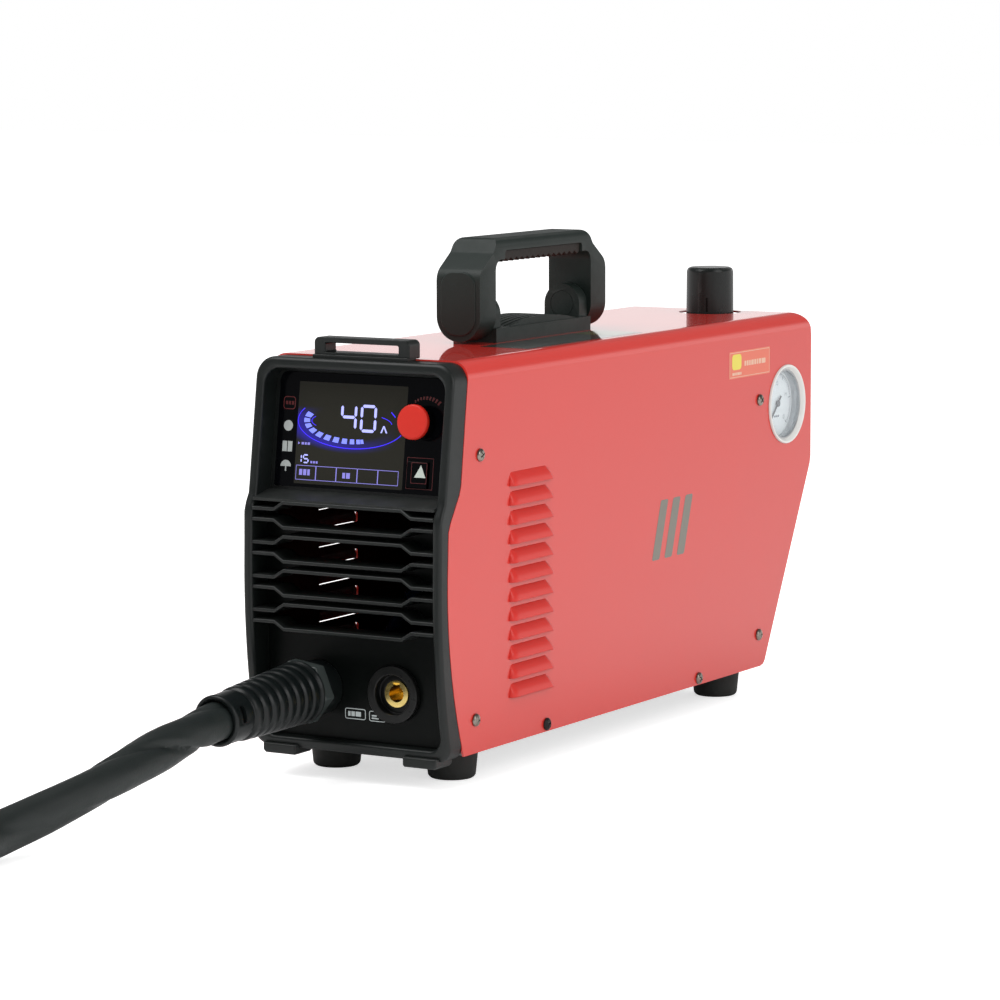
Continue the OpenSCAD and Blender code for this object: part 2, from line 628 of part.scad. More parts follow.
// ---- Torch gland, nut and boot ----
nut_t = 8.5;
boot_tilt = 2.8;                     // droop of the boot
nut_y = plate_y - gland_l;
thread_d = 22;
module gland_body() color("dimgray") difference() {
    union() {
        bar_y([-port_x, nut_y, port_z], gland_d, gland_l);
        bar_y([-port_x, plate_y - 1, port_z], gland_d - 6 - 2 * slip, plate_t + 12);
        bar_y([-port_x, nut_y - nut_t - 4, port_z], thread_d, nut_t + 5);
    }
    bar_y([-port_x, nut_y - nut_t - 5, port_z], 12, gland_l + nut_t + 40);
}
module gland_nut() color("gray") difference() {
    translate([-port_x, nut_y - nut_t, port_z]) rotate([-90, 0, 0]) rotate([0, 0, 8])
        cylinder(d = gland_nut_af / cos(30), h = nut_t - 0.1, $fn = 6);
    bar_y([-port_x, nut_y - nut_t - 1, port_z], thread_d + 2 * slip, nut_t + 2);
}
boot_root = [-port_x, nut_y - nut_t + 1, port_z];
boot_collar = 18;                    // smooth length before the boot's mouth
boot_wall = 2.2;
rib_pitch = (boot_l - boot_collar - 4) / boot_ribs;
// Places its children on the boot's axis: Z runs from the root to the mouth
module on_boot() translate(boot_root) rotate([90 + boot_tilt, 0, 0]) children();
function boot_r(s) = (boot_root_d + (boot_end_d - boot_root_d) * s / boot_l) / 2;
boot_outline = concat(
    [for (i = [0:boot_ribs - 1], k = [[0, 0], [0.12, 1.6], [0.62, 1.6], [0.74, 0]])
        let (s = 4 + (i + k[0]) * rib_pitch) [boot_r(s) - 1.6 + k[1], s]],
    [[boot_r(boot_l - boot_collar) - 1.6, boot_l - boot_collar], [boot_end_d / 2, boot_l - boot_collar + 2],
     [boot_end_d / 2, boot_l - 1.5], [boot_end_d / 2 - 1, boot_l]]);
module boot_form() difference() {
    rotate_extrude() polygon(concat(
        [[thread_d / 2 + 0.6, 0], [boot_root_d / 2, 0], [boot_root_d / 2, 3]], boot_outline,
        [[lead_d / 2 + gap, boot_l], [lead_d / 2 + gap, 8], [thread_d / 2 + 0.6, 7]]));
    // Oval drain slot in the collar
    translate([0, 0, boot_l - 7.5]) rotate([0, 90, 15]) linear_extrude(30)
        polygon(round_rect(-1.8, -5, 1.8, 5, 1.7, 1.7));
}

module lead_boot() color("dimgray") difference() {
    on_boot() boot_form();
    // Flat root against the nut
    box([-port_x - 20, nut_y - nut_t - 0.1, port_z - 20], [-port_x + 20, nut_y, port_z + 20]);
}

// ---- Torch lead: free stretches as points [x, y, z], and a coil of two layers ----
function on_boot_point(s) = boot_root + s * [0, -cos(boot_tilt), -sin(boot_tilt)];
coil_at = [-98.5, -657];
coil_r = 146;                        // radius of the outer turn's middle line
coil_pitch = 22.8;                   // distance between turns, and between layers
coil_turns = 2.3125;                 // turns in each layer
coil_in = 45;                        // angle where the lead meets the outer turn
lead_low = 11;                       // height of the lowest turn's middle line
lead_high = lead_low + coil_pitch;
coil_steps = 24;
coil_n = round(2 * coil_turns * coil_steps);
coil_out = coil_in - 360 * coil_n / coil_steps;
// Point on the outer turn's tangent at angle a, s along it in the direction of the winding
function beside_coil(a, s, z) =
    [coil_at[0] + coil_r * cos(a) + s * sin(a), coil_at[1] + coil_r * sin(a) - s * cos(a), z];
function coil_point(i) =
    let (k = min(i, coil_n - i), r = coil_r - coil_pitch * k / coil_steps,
         a = coil_in - 360 * i / coil_steps,
         climb = min(1, max(0, (i - coil_n / 2 + coil_steps / 4) / (coil_steps / 2))))
    [coil_at[0] + r * cos(a), coil_at[1] + r * sin(a), lead_low + coil_pitch * climb];
coil_body = [for (i = [0:coil_n]) coil_point(i)];
coil_path = concat([beside_coil(coil_in, -lead_d, lead_low)], coil_body,
                   [beside_coil(coil_out, lead_d, lead_high)]);
lead_route = concat([on_boot_point(12), on_boot_point(42), on_boot_point(78)], [
    [-24.5, -328, 42], [-25, -352, 38], [-26.5, -380, 32], [-30, -408, 25.5], [-36, -438, 18.5],
    [-40.5, -463, 13.8], [-39, -487, 11.5], [-31.5, -510, 11]],
    [beside_coil(coil_in, -lead_d - 4, lead_low), beside_coil(coil_in, -lead_d, lead_low)]);
torch_at = [-203, -492, torch_d / 2];
end_route = concat([beside_coil(coil_out, lead_d, lead_high)], [
    [-244.5, -626.5, 33.8], [-239.5, -599, 31.2], [-230, -575, 27.3], [-217.5, -552, 23.1],
    [-208, -527.5, 19.2], [-203, -500.5, 16.5], torch_at]);

// Tube of diameter d with n sides along points p, its end faces square to its ends
function cross_dir(t) = unit(cross(t, [0, 0, 1]));
function tangent(p, i) = i == 0 ? unit(p[1] - p[0]) : i == len(p) - 1 ? unit(p[i] - p[i - 1])
    : unit(unit(p[i + 1] - p[i]) + unit(p[i] - p[i - 1]));
function ring(c, t, r, n) = let (u = cross_dir(t), v = cross(u, t))
    [for (k = [0:n - 1]) c + r * (u * cos(360 * (k + 0.5) / n) + v * sin(360 * (k + 0.5) / n))];
module tube(p, d, n) {
    rings = [for (i = [0:len(p) - 1]) ring(p[i], tangent(p, i), d / 2, n)];
    m = len(p);
    polyhedron(
        points = [for (r = rings, q = r) q],
        faces = concat([[for (k = [n - 1:-1:0]) k]], [[for (k = [0:n - 1]) (m - 1) * n + k]],
            [for (i = [0:m - 2], k = [0:n - 1]) [i * n + k, i * n + (k + 1) % n, (i + 1) * n + k]],
            [for (i = [0:m - 2], k = [0:n - 1])
                [i * n + (k + 1) % n, (i + 1) * n + (k + 1) % n, (i + 1) * n + k]]),
        convexity = 10);
}
// Least distance between turns of the coil, less the lead's diameter
coil_gap = min([for (i = [0:len(coil_body) - 1]) min([for (j = [0:len(coil_body) - 1])
    abs(i - j) > coil_steps / 2 ? norm(coil_body[i] - coil_body[j]) : 1000])]) - lead_d;
function run(p) = len(p) < 2 ? 0 : norm(p[1] - p[0]) + run([for (i = [1:len(p) - 1]) p[i]]);
module torch_lead() color("black") tube(lead_route, lead_d, 12);
module torch_lead_coil() color("black") {
    echo(coil_gap = coil_gap, lead_length = run(lead_route) + run(coil_path) + run(end_route));
    tube(coil_path, lead_d, 6);
}
module torch_lead_end() color("black") tube(end_route, lead_d, 12);

// ---- Torch: handle along +Y from its lead, its head bent towards -X, trigger on the far side ----
head_y = torch_l - 14;
module at_torch() translate(torch_at) children();
module at_head() at_torch() translate([0, head_y, 0]) rotate([0, 0, torch_bend]) rotate([-90, 0, 0])
    children();
trigger_pin = [torch_d / 2 - 4, 66];
pocket_hw = 5;
module torch_handle() color("dimgray") at_torch() difference() {
    rotate([-90, 0, 0]) rotate_extrude() polygon([
        [0, 0], [lead_d / 2 + 2, 0], [torch_d / 2 - 2, 26], [torch_d / 2, 40], [torch_d / 2, 100],
        [torch_d / 2 - 2.5, 140], [torch_d / 2 - 3, torch_l - 30], [11, torch_l - 26], [0, torch_l - 26]]);
    box([torch_d / 2 - 9, 60, -pocket_hw], [torch_d / 2 + 1, 120, pocket_hw]);
    bar_z([trigger_pin[0], trigger_pin[1], -9], 3 + 2 * slip, 18);
}
module torch_trigger() color("darkred") at_torch() {
    translate([0, 0, gap - pocket_hw]) linear_extrude(2 * (pocket_hw - gap)) polygon([
        [torch_d / 2 - 6.5, 63.5], [torch_d / 2 - 1.2, 63.5], [torch_d / 2 + 3.5, 76],
        [torch_d / 2 + 3.5, 106], [torch_d / 2 - 1, 117], [torch_d / 2 - 5, 117],
        [torch_d / 2 - 5, 74], [torch_d / 2 - 6.5, 70]]);
    bar_z([trigger_pin[0], trigger_pin[1], -8.5], 3, 17);
}
neck_d = 20;
module torch_head() color("black") union() {
    at_torch() bar_y([0, torch_l - 26, 0], neck_d, 12);
    at_torch() translate([0, head_y, 0]) sphere(d = neck_d + 1.5);
    at_head() cylinder(d = neck_d, h = 20);
}
module shield_cup() color("goldenrod") at_head() difference() {
    union() {
        translate([0, 0, 20]) cylinder(d = cup_d, h = 12);
        translate([0, 0, 32]) cylinder(d1 = cup_d, d2 = cup_d - 8, h = 11);
    }
    translate([0, 0, 19]) cylinder(d = 8.4, h = 26);
}
module torch_nozzle() color("peru") at_head() difference() {
    translate([0, 0, 20]) cylinder(d = 8, h = 26);
    translate([0, 0, 38]) cylinder(d = 1.2, h = 9);
}

// ---- Rear panel ----
fan_x = 8;
fan_z = low_z + 14 + fan_w / 2;
fan_y0 = panel_y - sheet_t - fan_t;
switch_at = [-38, top_z - 53];
mains_at = [-47, low_z + 42];
mains_thread = 16;
pipe_d = 10;
panel_hw = in_hw - 0.1;
fan_hole = fan_w - 4;
fan_bolts = fan_w / 2 - 4.25;        // the fan's screw holes, from its middle
module rear_panel() color("gainsboro") difference() {
    union() {
        along(panel_y - sheet_t, panel_y) polygon(round_rect(-panel_hw, floor_z, panel_hw,
            top_z - sheet_t - 0.2, 1, bend_r - sheet_t));
        both() box([panel_hw - sheet_t, panel_y - 14, floor_z + 0.1], [panel_hw, panel_y, top_z - 16]);
    }
    bar_y([fan_x, panel_y - sheet_t - eps, fan_z], fan_hole, sheet_t + 2 * eps);
    for (x = [-1, 1], z = [-1, 1])
        bar_y([fan_x + x * fan_bolts, panel_y - sheet_t - eps, fan_z + z * fan_bolts], 4.3, sheet_t + 1);
    translate([switch_at[0], panel_y - sheet_t / 2, switch_at[1]])
        cube([switch_w + 2 * slip, sheet_t + 1, switch_h + 2 * slip], center = true);
    bar_y([mains_at[0], panel_y - sheet_t - eps, mains_at[1]], mains_thread + 2 * slip, sheet_t + 1);
    bar_y([reg_pos[0], panel_y - sheet_t - eps, reg_pos[2]], pipe_d + 2, sheet_t + 1);
    both() for (s = [side_screws[2], side_screws[3]])
        bar_x([panel_hw - sheet_t - eps, s[0], low_z + s[1]], screw_d + 2 * slip, sheet_t + 1);
}
fan_hub_d = 34;
module fan_frame() color("black") difference() {
    union() {
        difference() {
            along(fan_y0, panel_y - sheet_t) translate([fan_x, fan_z])
                polygon(round_rect(-fan_w / 2, -fan_w / 2, fan_w / 2, fan_w / 2, 4, 4));
            bar_y([fan_x, fan_y0 - eps, fan_z], fan_w - 3, fan_t + 1);
        }
        // Motor seat on four struts
        bar_y([fan_x, fan_y0, fan_z], fan_hub_d, 4);
        for (a = [45:90:315]) translate([fan_x, fan_y0, fan_z]) rotate([0, a, 0])
            box([fan_hub_d / 2 - 1, 0, -2], [fan_w / 2 - 1, 3, 2]);
    }
    bar_y([fan_x, fan_y0 - eps, fan_z], 3 + 2 * slip, 6);
    for (x = [-1, 1], z = [-1, 1])
        bar_y([fan_x + x * fan_bolts, fan_y0 - eps, fan_z + z * fan_bolts], 4.3, fan_t + 1);
}
blade_n = 7;
module fan_rotor() color("black") translate([fan_x, fan_y0, fan_z]) {
    bar_y([0, 4 + gap, 0], fan_hub_d, fan_t - 6);
    bar_y([0, 1, 0], 3, 6);
    for (k = [0:blade_n - 1]) rotate([0, 360 * k / blade_n, 0])
        translate([fan_hub_d / 2 - 1, fan_t / 2 + 1, 0]) rotate([38, 0, 0])
            box([0, -0.8, -10], [fan_w / 2 - 3.5 - fan_hub_d / 2, 0.8, 10]);
}
guard_rings = [fan_w / 2 - 3, fan_w / 2 - 12, fan_w / 2 - 21, fan_w / 2 - 30];
guard_wire = 2;
module fan_guard() color("silver") translate([fan_x, panel_y, fan_z]) {
    difference() {
        union() {
            for (r = guard_rings) translate([0, 1.6, 0]) rotate([-90, 0, 0]) rotate_extrude()
                translate([r, 0]) circle(d = guard_wire, $fn = 16);
            for (a = [45:90:315]) rotate([0, a, 0])
                box([guard_rings[3] - 0.5, 0.2, -1], [fan_bolts * sqrt(2) - 1, 1.8, 1]);
            for (x = [-1, 1], z = [-1, 1]) bar_y([x * fan_bolts, 0, z * fan_bolts], 8, 1.6);
        }
        for (x = [-1, 1], z = [-1, 1]) bar_y([x * fan_bolts, -1, z * fan_bolts], 4 + 2 * slip, 4);
    }
    // Screws that hold the guard and the fan
    for (x = [-1, 1], z = [-1, 1]) {
        bar_y([x * fan_bolts, 1.6, z * fan_bolts], 7, 2.2);
        bar_y([x * fan_bolts, -fan_t, z * fan_bolts], 4, fan_t + 2);
    }
}
rocker_w = switch_w - 5;
rocker_h = switch_h - 6.4;
rocker_pin = 3;
module at_switch() translate([switch_at[0], panel_y, switch_at[1]]) children();
module switch_body() color("black") at_switch() difference() {
    union() {
        box([-switch_w / 2, -22, -switch_h / 2], [switch_w / 2, 0.5, switch_h / 2]);
        box([-switch_w / 2 - 1.5, 0, -switch_h / 2 - 1.5], [switch_w / 2 + 1.5, 2, switch_h / 2 + 1.5]);
        for (x = [-6, 6], z = [-8, 8]) box([x - 3, -32, z - 0.4], [x + 3, -21, z + 0.4]);
    }
    box([-rocker_w / 2 - gap, -8, -rocker_h / 2 - 1], [rocker_w / 2 + gap, 3, rocker_h / 2 + 1]);
    bar_x([-switch_w / 2 + 1, 0, 0], rocker_pin + 2 * slip, switch_w - 2);
}
module switch_rocker() color("black") at_switch() rotate([-rocker_swing / 2, 0, 0]) {
    across(-rocker_w / 2, rocker_w / 2) polygon([
        [-5, -5], [-1, -rocker_h / 2], [3.6, -rocker_h / 2], [2, 0], [3.6, rocker_h / 2],
        [-1, rocker_h / 2], [-5, 5]]);
    bar_x([-switch_w / 2 + 1.2, 0, 0], rocker_pin, switch_w - 2.4);
}
module at_mains() translate([mains_at[0], panel_y, mains_at[1]]) rotate([-90, 0, 0]) children();
module mains_gland() color("dimgray") at_mains() {
    difference() {
        union() {
            cylinder(d = 22, h = 5, $fn = 6);
            translate([0, 0, -sheet_t - 8]) cylinder(d = mains_thread, h = sheet_t + 20);
        }
        translate([0, 0, -sheet_t - 9]) cylinder(d = mains_bore_d, h = 40);
    }
    // Domed cap nut and inner locknut
    rotate_extrude() polygon([[mains_thread / 2 + slip, 5.1], [10.5, 5.1], [10.5, 14], [9, 18],
        [6.6, 19.5], [mains_bore_d / 2 + 0.4, 19.5], [mains_bore_d / 2 + 0.4, 17],
        [mains_thread / 2 + slip, 17]]);
    difference() {
        translate([0, 0, -sheet_t - 5]) cylinder(d = 23, h = 5, $fn = 6);
        translate([0, 0, -sheet_t - 6]) cylinder(r = mains_thread / 2 + slip, h = 8);
    }
}

// ---- Filter regulator ----
body_hw = 20;                        // half width of the regulator's body, and its ports' reach
body_h = 28;
collar_h = 8;
bonnet_d = 34;
bonnet_thread = 26;
bracket_t = 2;
bracket_z = body_h / 2 + collar_h;   // underside of the bracket above the ports
nut_h = 5;
knob_z = bracket_z + bracket_t + nut_h + 7;
spindle_d = 8;
module at_reg() translate(reg_pos) children();
module regulator_bracket() color("silver") at_reg() difference() {
    union() {
        box([-22, panel_y - reg_pos[1], bracket_z], [22, 19, bracket_z + bracket_t]);
        box([-22, panel_y - reg_pos[1], bracket_z - 12],
            [22, panel_y - reg_pos[1] + bracket_t, bracket_z + bracket_t]);
    }
    bar_z([0, 0, bracket_z - 1], bonnet_thread + 2 * slip, bracket_t + 2);
}
module regulator_body() color("gray") at_reg() difference() {
    union() {
        translate([0, 0, -body_h / 2]) linear_extrude(body_h)
            polygon(round_rect(-body_hw + 3, -body_hw + 3, body_hw - 3, body_hw - 3, 5, 5));
        bar_y([0, -body_hw, 0], 18, 2 * body_hw);
        bar_x([0, 0, 0], 18, body_hw);
        bar_z([0, 0, body_h / 2 - 1], bonnet_d, collar_h + 1);
        bar_z([0, 0, body_h / 2], bonnet_thread, collar_h + bracket_t + nut_h + 5);
        bar_z([0, 0, -body_h / 2 - 6], bowl_d + 3, 7);
    }
    bar_y([0, -body_hw - 1, 0], pipe_d + 2 * slip, 10);
    bar_y([0, body_hw - 9, 0], pipe_d + 2 * slip, 10);
    bar_x([body_hw - 9, 0, 0], 10 + 2 * slip, 10);
    bar_z([0, 0, body_h / 2 + 4], spindle_d + 2 * slip, 40);
    bar_z([0, 0, -body_h / 2 - 7], bowl_d - 6, 8);
}
module regulator_nut() color("dimgray") at_reg() difference() {
    bar_z([0, 0, bracket_z + bracket_t], bonnet_thread + 8, nut_h);
    bar_z([0, 0, bracket_z], bonnet_thread + 2 * slip, 12);
}
knob_top = top_z + reg_knob_h - reg_pos[2];
module regulator_spindle() color("silver") at_reg()
    bar_z([0, 0, body_h / 2 + 5], spindle_d, knob_top - body_h / 2 - 5 - reg_lift - 8);
module regulator_knob() color("black") at_reg() difference() {
    rotate_extrude() polygon([
        [0, knob_z], [reg_knob_d / 2 + 0.4, knob_z], [reg_knob_d / 2, knob_z + 6],
        [reg_knob_d / 2 - 0.3, knob_top - 2.5], [reg_knob_d / 2 - 1, knob_top - 0.8],
        [reg_knob_d / 2 - 2.6, knob_top], [0, knob_top]]);
    bar_z([0, 0, knob_z - 1], spindle_d + 2 * slip, knob_top - knob_z - 6);
    for (a = [0:30:330]) rotate([0, 0, a])
        translate([reg_knob_d / 2 + 0.2, 0, knob_z + 6]) cylinder(d = 1, h = knob_top - knob_z - 9);
}
module filter_bowl() color("lightgray") at_reg() translate([0, 0, -body_h / 2 - 6.1 - bowl_l])
    rotate_extrude() polygon([
        [0, 0], [4, 0], [4, 6], [bowl_d / 2 - 6, 7], [bowl_d / 2 - 1.5, 11], [bowl_d / 2, 16],
        [bowl_d / 2, bowl_l], [bowl_d / 2 - 2, bowl_l], [bowl_d / 2 - 2, 16],
        [bowl_d / 2 - 6, 10], [0, 9]]);
gauge_back = half_w - 24;            // rear of the gauge's case
dial_x = half_w - 6.5;               // face of the gauge's dial
module at_gauge(x) translate([x, reg_pos[1], reg_pos[2]]) rotate([0, 90, 0]) children();
module gauge_case() color("silver") difference() {
    union() {
        at_gauge(gauge_back) cylinder(d = gauge_d + 2.4, h = half_w - 1 - gauge_back);
        at_gauge(reg_pos[0] + body_hw - 8) cylinder(d = 10, h = gauge_back - reg_pos[0] - body_hw + 9);
        at_gauge(reg_pos[0] + body_hw + 0.2) cylinder(d = 16, h = 5, $fn = 6);
    }
    at_gauge(gauge_back + 1.5) cylinder(d = gauge_d, h = 40);
}
module gauge_dial() color("white") difference() {
    union() {
        at_gauge(dial_x - 0.8) cylinder(d = gauge_d - 2 * slip, h = 0.8);
        at_gauge(gauge_back + 1.5) cylinder(d = 12, h = dial_x - gauge_back - 2);
    }
    at_gauge(dial_x - 5) cylinder(r = 1 + slip, h = 6);
}
module gauge_needle() color("black") {
    at_gauge(dial_x - 4) cylinder(r = 1, h = 5.4);
    at_gauge(dial_x + 0.5) cylinder(d = 4, h = 0.9);
    translate([dial_x + 0.6, reg_pos[1], reg_pos[2]]) rotate([-45, 0, 0])
        box([0, -0.5, -gauge_d / 2 + 5], [0.5, 0.5, 6]);
}
module gauge_lens() color("lightblue") at_gauge(dial_x + 2.4) cylinder(d = gauge_d - 2 * slip, h = 1.4);
module gauge_ring() color("white") difference() {
    union() {
        at_gauge(half_w) cylinder(d = gauge_ring_d, h = 1.4);
        at_gauge(half_w - 4) cylinder(d = gauge_ring_d - 3.2, h = 4.5);
    }
    at_gauge(half_w - 5) cylinder(d = gauge_d + 2.4 + 2 * slip, h = 4);
    at_gauge(half_w - 2) cylinder(d = gauge_d, h = 5);
}
elbow_y = (rear_y - reg_pos[1] + body_hw) / 2 + 0.4;
plug_d = 9;
module air_inlet() color("goldenrod") at_reg() difference() {
    union() {
        bar_y([0, body_hw - 8, 0], pipe_d, elbow_y - body_hw + 8);
        bar_z([0, elbow_y, -7], 12, 14);
        // Plug for a quick coupler: spigot, locking groove and shoulder
        bar_z([0, elbow_y, -28], plug_d, 9);
        bar_z([0, elbow_y, -20], plug_d - 2, 6);
        bar_z([0, elbow_y, -15.5], plug_d + 1.6, 10);
    }
    bar_z([0, elbow_y, -29], 5, 30);
}

// ---- Air line inside the case ----
valve_y1 = panel_y - sheet_t - 4;    // rear face of the valve
valve_l = 32;
hose_d = 8;
module air_pipe() color("goldenrod") at_reg() difference() {
    bar_y([0, valve_y1 - reg_pos[1] - 6, 0], pipe_d, reg_pos[1] - body_hw + 8 - valve_y1 + 6);
    bar_y([0, valve_y1 - reg_pos[1] - 7, 0], 6, 60);
}
// Push-in collar round the end of the hose
module push_collar(p) difference() {
    bar_y(p, hose_d + 6, 9);
    bar_y(p - [0, 1, 0], hose_d + 2 * gap, 11);
}
module solenoid_valve() color("steelblue") {
    difference() {
        box([reg_pos[0] - 15, valve_y1 - valve_l, reg_pos[2] - 13],
            [reg_pos[0] + 15, valve_y1, reg_pos[2] + 11]);
        bar_y([reg_pos[0], valve_y1 - 8, reg_pos[2]], pipe_d + 2 * slip, 9);
    }
    push_collar([reg_pos[0], valve_y1 - valve_l - 9, reg_pos[2]]);
    box([reg_pos[0] - 12, valve_y1 - valve_l + 4, reg_pos[2] + 11],
        [reg_pos[0] + 12, valve_y1 - 3, reg_pos[2] + 40]);
    bar_z([reg_pos[0], valve_y1 - valve_l / 2, reg_pos[2] + 39], 10, 6);
}
block_y0 = plate_y + plate_t;        // the torch manifold sits on the back of the connector plate
block_l = 28;
hose_route = [
    [reg_pos[0], valve_y1 - valve_l - 0.2, reg_pos[2]], [reg_pos[0], 96, reg_pos[2]], [9, 70, 170],
    [2, 35, 156], [-8, 0, 142], [-16, -40, 127], [-22, -80, 108], [-24.25, -115, 82],
    [-24.25, -138, 61], [-port_x, -152, 51.5], [-port_x, block_y0 + block_l + 12, port_z],
    [-port_x, block_y0 + block_l + 0.2, port_z]];
module air_hose() color("royalblue") tube(hose_route, hose_d, 12);
module torch_manifold() color("goldenrod") difference() {
    union() {
        box([-port_x - 13, block_y0, port_z - 13], [-port_x + 13, block_y0 + block_l, port_z + 13]);
        push_collar([-port_x, block_y0 + block_l, port_z]);
    }
    bar_y([-port_x, block_y0 - 1, port_z], gland_d - 6 + 2 * slip, 14);
}

// ---- Power electronics on the main board ----
board_z = low_z + 28;
board_t = 1.6;
board_hw = 54;
board_y0 = front_y + 78.5;
board_y1 = panel_y - 44;
deck = board_z + board_t;
posts = [for (x = [-1, 1], y = [board_y0 + 8, (board_y0 + board_y1) / 2, board_y1 - 8])
    [x * (board_hw - 7), y]];
sink_l = board_y1 - board_y0 - 156;  // what the other pieces leave free
sink_h = 58;
module main_board() color("darkgreen") {
    difference() {
        box([-board_hw, board_y0, board_z], [board_hw, board_y1, deck]);
        for (p = posts) bar_z([p[0], p[1], board_z - 1], 3.2, 4);
    }
    for (p = posts) bar_z([p[0], p[1], floor_z], 7, board_z - floor_z - 0.1);
}
module heat_sinks() color("silver") both() translate([4, board_y1 - 4 - sink_l, deck]) {
    box([0, 0, 0], [6, sink_l, sink_h]);
    for (k = [0:7]) box([5.5, 0, 2 + k * 7.6], [44, sink_l, 3.8 + k * 7.6]);
}
cap_d = 30;
module capacitors() color("black") for (x = [-1:1]) translate([x * 35, board_y0 + 132, deck]) rotate_extrude()
    polygon([[0, 0], [cap_d / 2 - 0.6, 0], [cap_d / 2, 2], [cap_d / 2 - 0.8, 4], [cap_d / 2, 6],
             [cap_d / 2, 49], [cap_d / 2 - 1, 50], [0, 50]]);
module transformer() color("dimgray") translate([12, board_y0 + 78, deck]) {
    difference() {
        box([-28, -11, 0], [28, 11, 50]);
        box([-18, -12, 9], [-9, 12, 41]);
        box([9, -12, 9], [18, 12, 41]);
    }
    // Winding round the middle limb
    difference() {
        box([-17.8, -22, 9.2], [17.8, 22, 40.8]);
        box([-9.2, -11.2, 9], [9.2, 11.2, 41]);
    }
}
module output_choke() color("peru") translate([24, board_y0 + 28, deck]) rotate_extrude()
    polygon(round_rect(9, 0, 25, 20, 5, 5));

cover();
base_tray();
front_bezel();
display_window();
display_module();
control_board();
rotary_encoder();
adjust_knob();
push_button();
handle_base();
handle_bail();
handle_grip();
handle_pivots();
handle_screws();
cover_screws();
black_screws();
rubber_feet();
foot_screws();
socket_body();
socket_insert();
socket_nut();
gland_body();
gland_nut();
lead_boot();
torch_lead();
torch_lead_coil();
torch_lead_end();
torch_handle();
torch_trigger();
torch_head();
shield_cup();
torch_nozzle();
rear_panel();
fan_frame();
fan_rotor();
fan_guard();
switch_body();
switch_rocker();
mains_gland();
regulator_bracket();
regulator_body();
regulator_nut();
regulator_spindle();
regulator_knob();
filter_bowl();
gauge_case();
gauge_dial();
gauge_needle();
gauge_lens();
gauge_ring();
air_inlet();
air_pipe();
solenoid_valve();
air_hose();
torch_manifold();
main_board();
heat_sinks();
capacitors();
transformer();
output_choke();
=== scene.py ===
import json
import math

import bmesh
import bpy
import numpy as np
from mathutils import Matrix, Vector, noise


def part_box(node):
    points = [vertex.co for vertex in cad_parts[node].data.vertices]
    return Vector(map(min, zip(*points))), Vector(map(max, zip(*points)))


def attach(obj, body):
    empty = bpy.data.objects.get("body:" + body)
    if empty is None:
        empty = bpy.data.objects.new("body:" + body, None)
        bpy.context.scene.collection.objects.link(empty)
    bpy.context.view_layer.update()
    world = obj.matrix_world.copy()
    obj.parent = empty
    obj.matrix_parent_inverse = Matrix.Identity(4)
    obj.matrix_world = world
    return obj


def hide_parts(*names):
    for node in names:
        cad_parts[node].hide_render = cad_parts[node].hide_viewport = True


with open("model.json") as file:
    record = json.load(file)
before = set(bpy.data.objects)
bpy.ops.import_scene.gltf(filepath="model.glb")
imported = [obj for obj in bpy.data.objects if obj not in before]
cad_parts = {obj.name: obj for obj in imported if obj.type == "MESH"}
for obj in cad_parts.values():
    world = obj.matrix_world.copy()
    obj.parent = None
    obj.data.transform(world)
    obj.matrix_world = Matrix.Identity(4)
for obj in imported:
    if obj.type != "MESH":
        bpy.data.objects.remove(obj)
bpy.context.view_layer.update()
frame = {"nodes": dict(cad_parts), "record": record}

MM = 0.001

# ---- Camera ----
# A long lens at the height of the case, turned 30 degrees to its right and looking a little down on it.
turn, dip, lean = (math.radians(a) for a in (30.528, 6.897, -0.135))
back = Vector((math.sin(turn) * math.cos(dip), -math.cos(turn) * math.cos(dip), math.sin(dip)))
right = Vector((math.cos(turn), math.sin(turn), 0))
right, up = (math.cos(lean) * right + math.sin(lean) * back.cross(right),
             math.cos(lean) * back.cross(right) - math.sin(lean) * right)
camera = bpy.data.objects.new("studio_camera", bpy.data.cameras.new("studio_camera"))
camera.data.lens = 147.29
camera.data.sensor_width = 36
camera.matrix_world = (Matrix.Translation((1.1667, -2.0294, 0.4143))
                       @ Matrix((right, up, back)).transposed().to_4x4())
bpy.context.scene.collection.objects.link(camera)
bpy.context.scene.camera = camera
bpy.context.scene.view_settings.view_transform = "Standard"

# ---- Floor and light ----
# A wide white table in an evenly white room, with one big soft lamp above on the left and a weaker
# one on the right. The table keeps a faint shadow of whatever stands on it.


def add(tree, kind, inputs=None, **settings):
    """Adds one shader node; inputs are values, or sockets that it is linked to."""
    made = tree.nodes.new("ShaderNode" + kind)
    for key, value in settings.items():
        setattr(made, key, value)
    for key, value in (inputs or {}).items():
        if isinstance(value, bpy.types.NodeSocket):
            tree.links.new(value, made.inputs[key])
        else:
            made.inputs[key].default_value = value
    return made


def soft_lamp(name, place, aim, size, power):
    """A square soft lamp that looks at a point."""
    lamp = bpy.data.objects.new(name, bpy.data.lights.new(name, "AREA"))
    lamp.data.shape = "SQUARE"
    lamp.data.size = size
    lamp.data.energy = power
    lamp.location = place
    lamp.rotation_euler = (Vector(aim) - Vector(place)).to_track_quat("-Z", "Y").to_euler()
    bpy.context.scene.collection.objects.link(lamp)


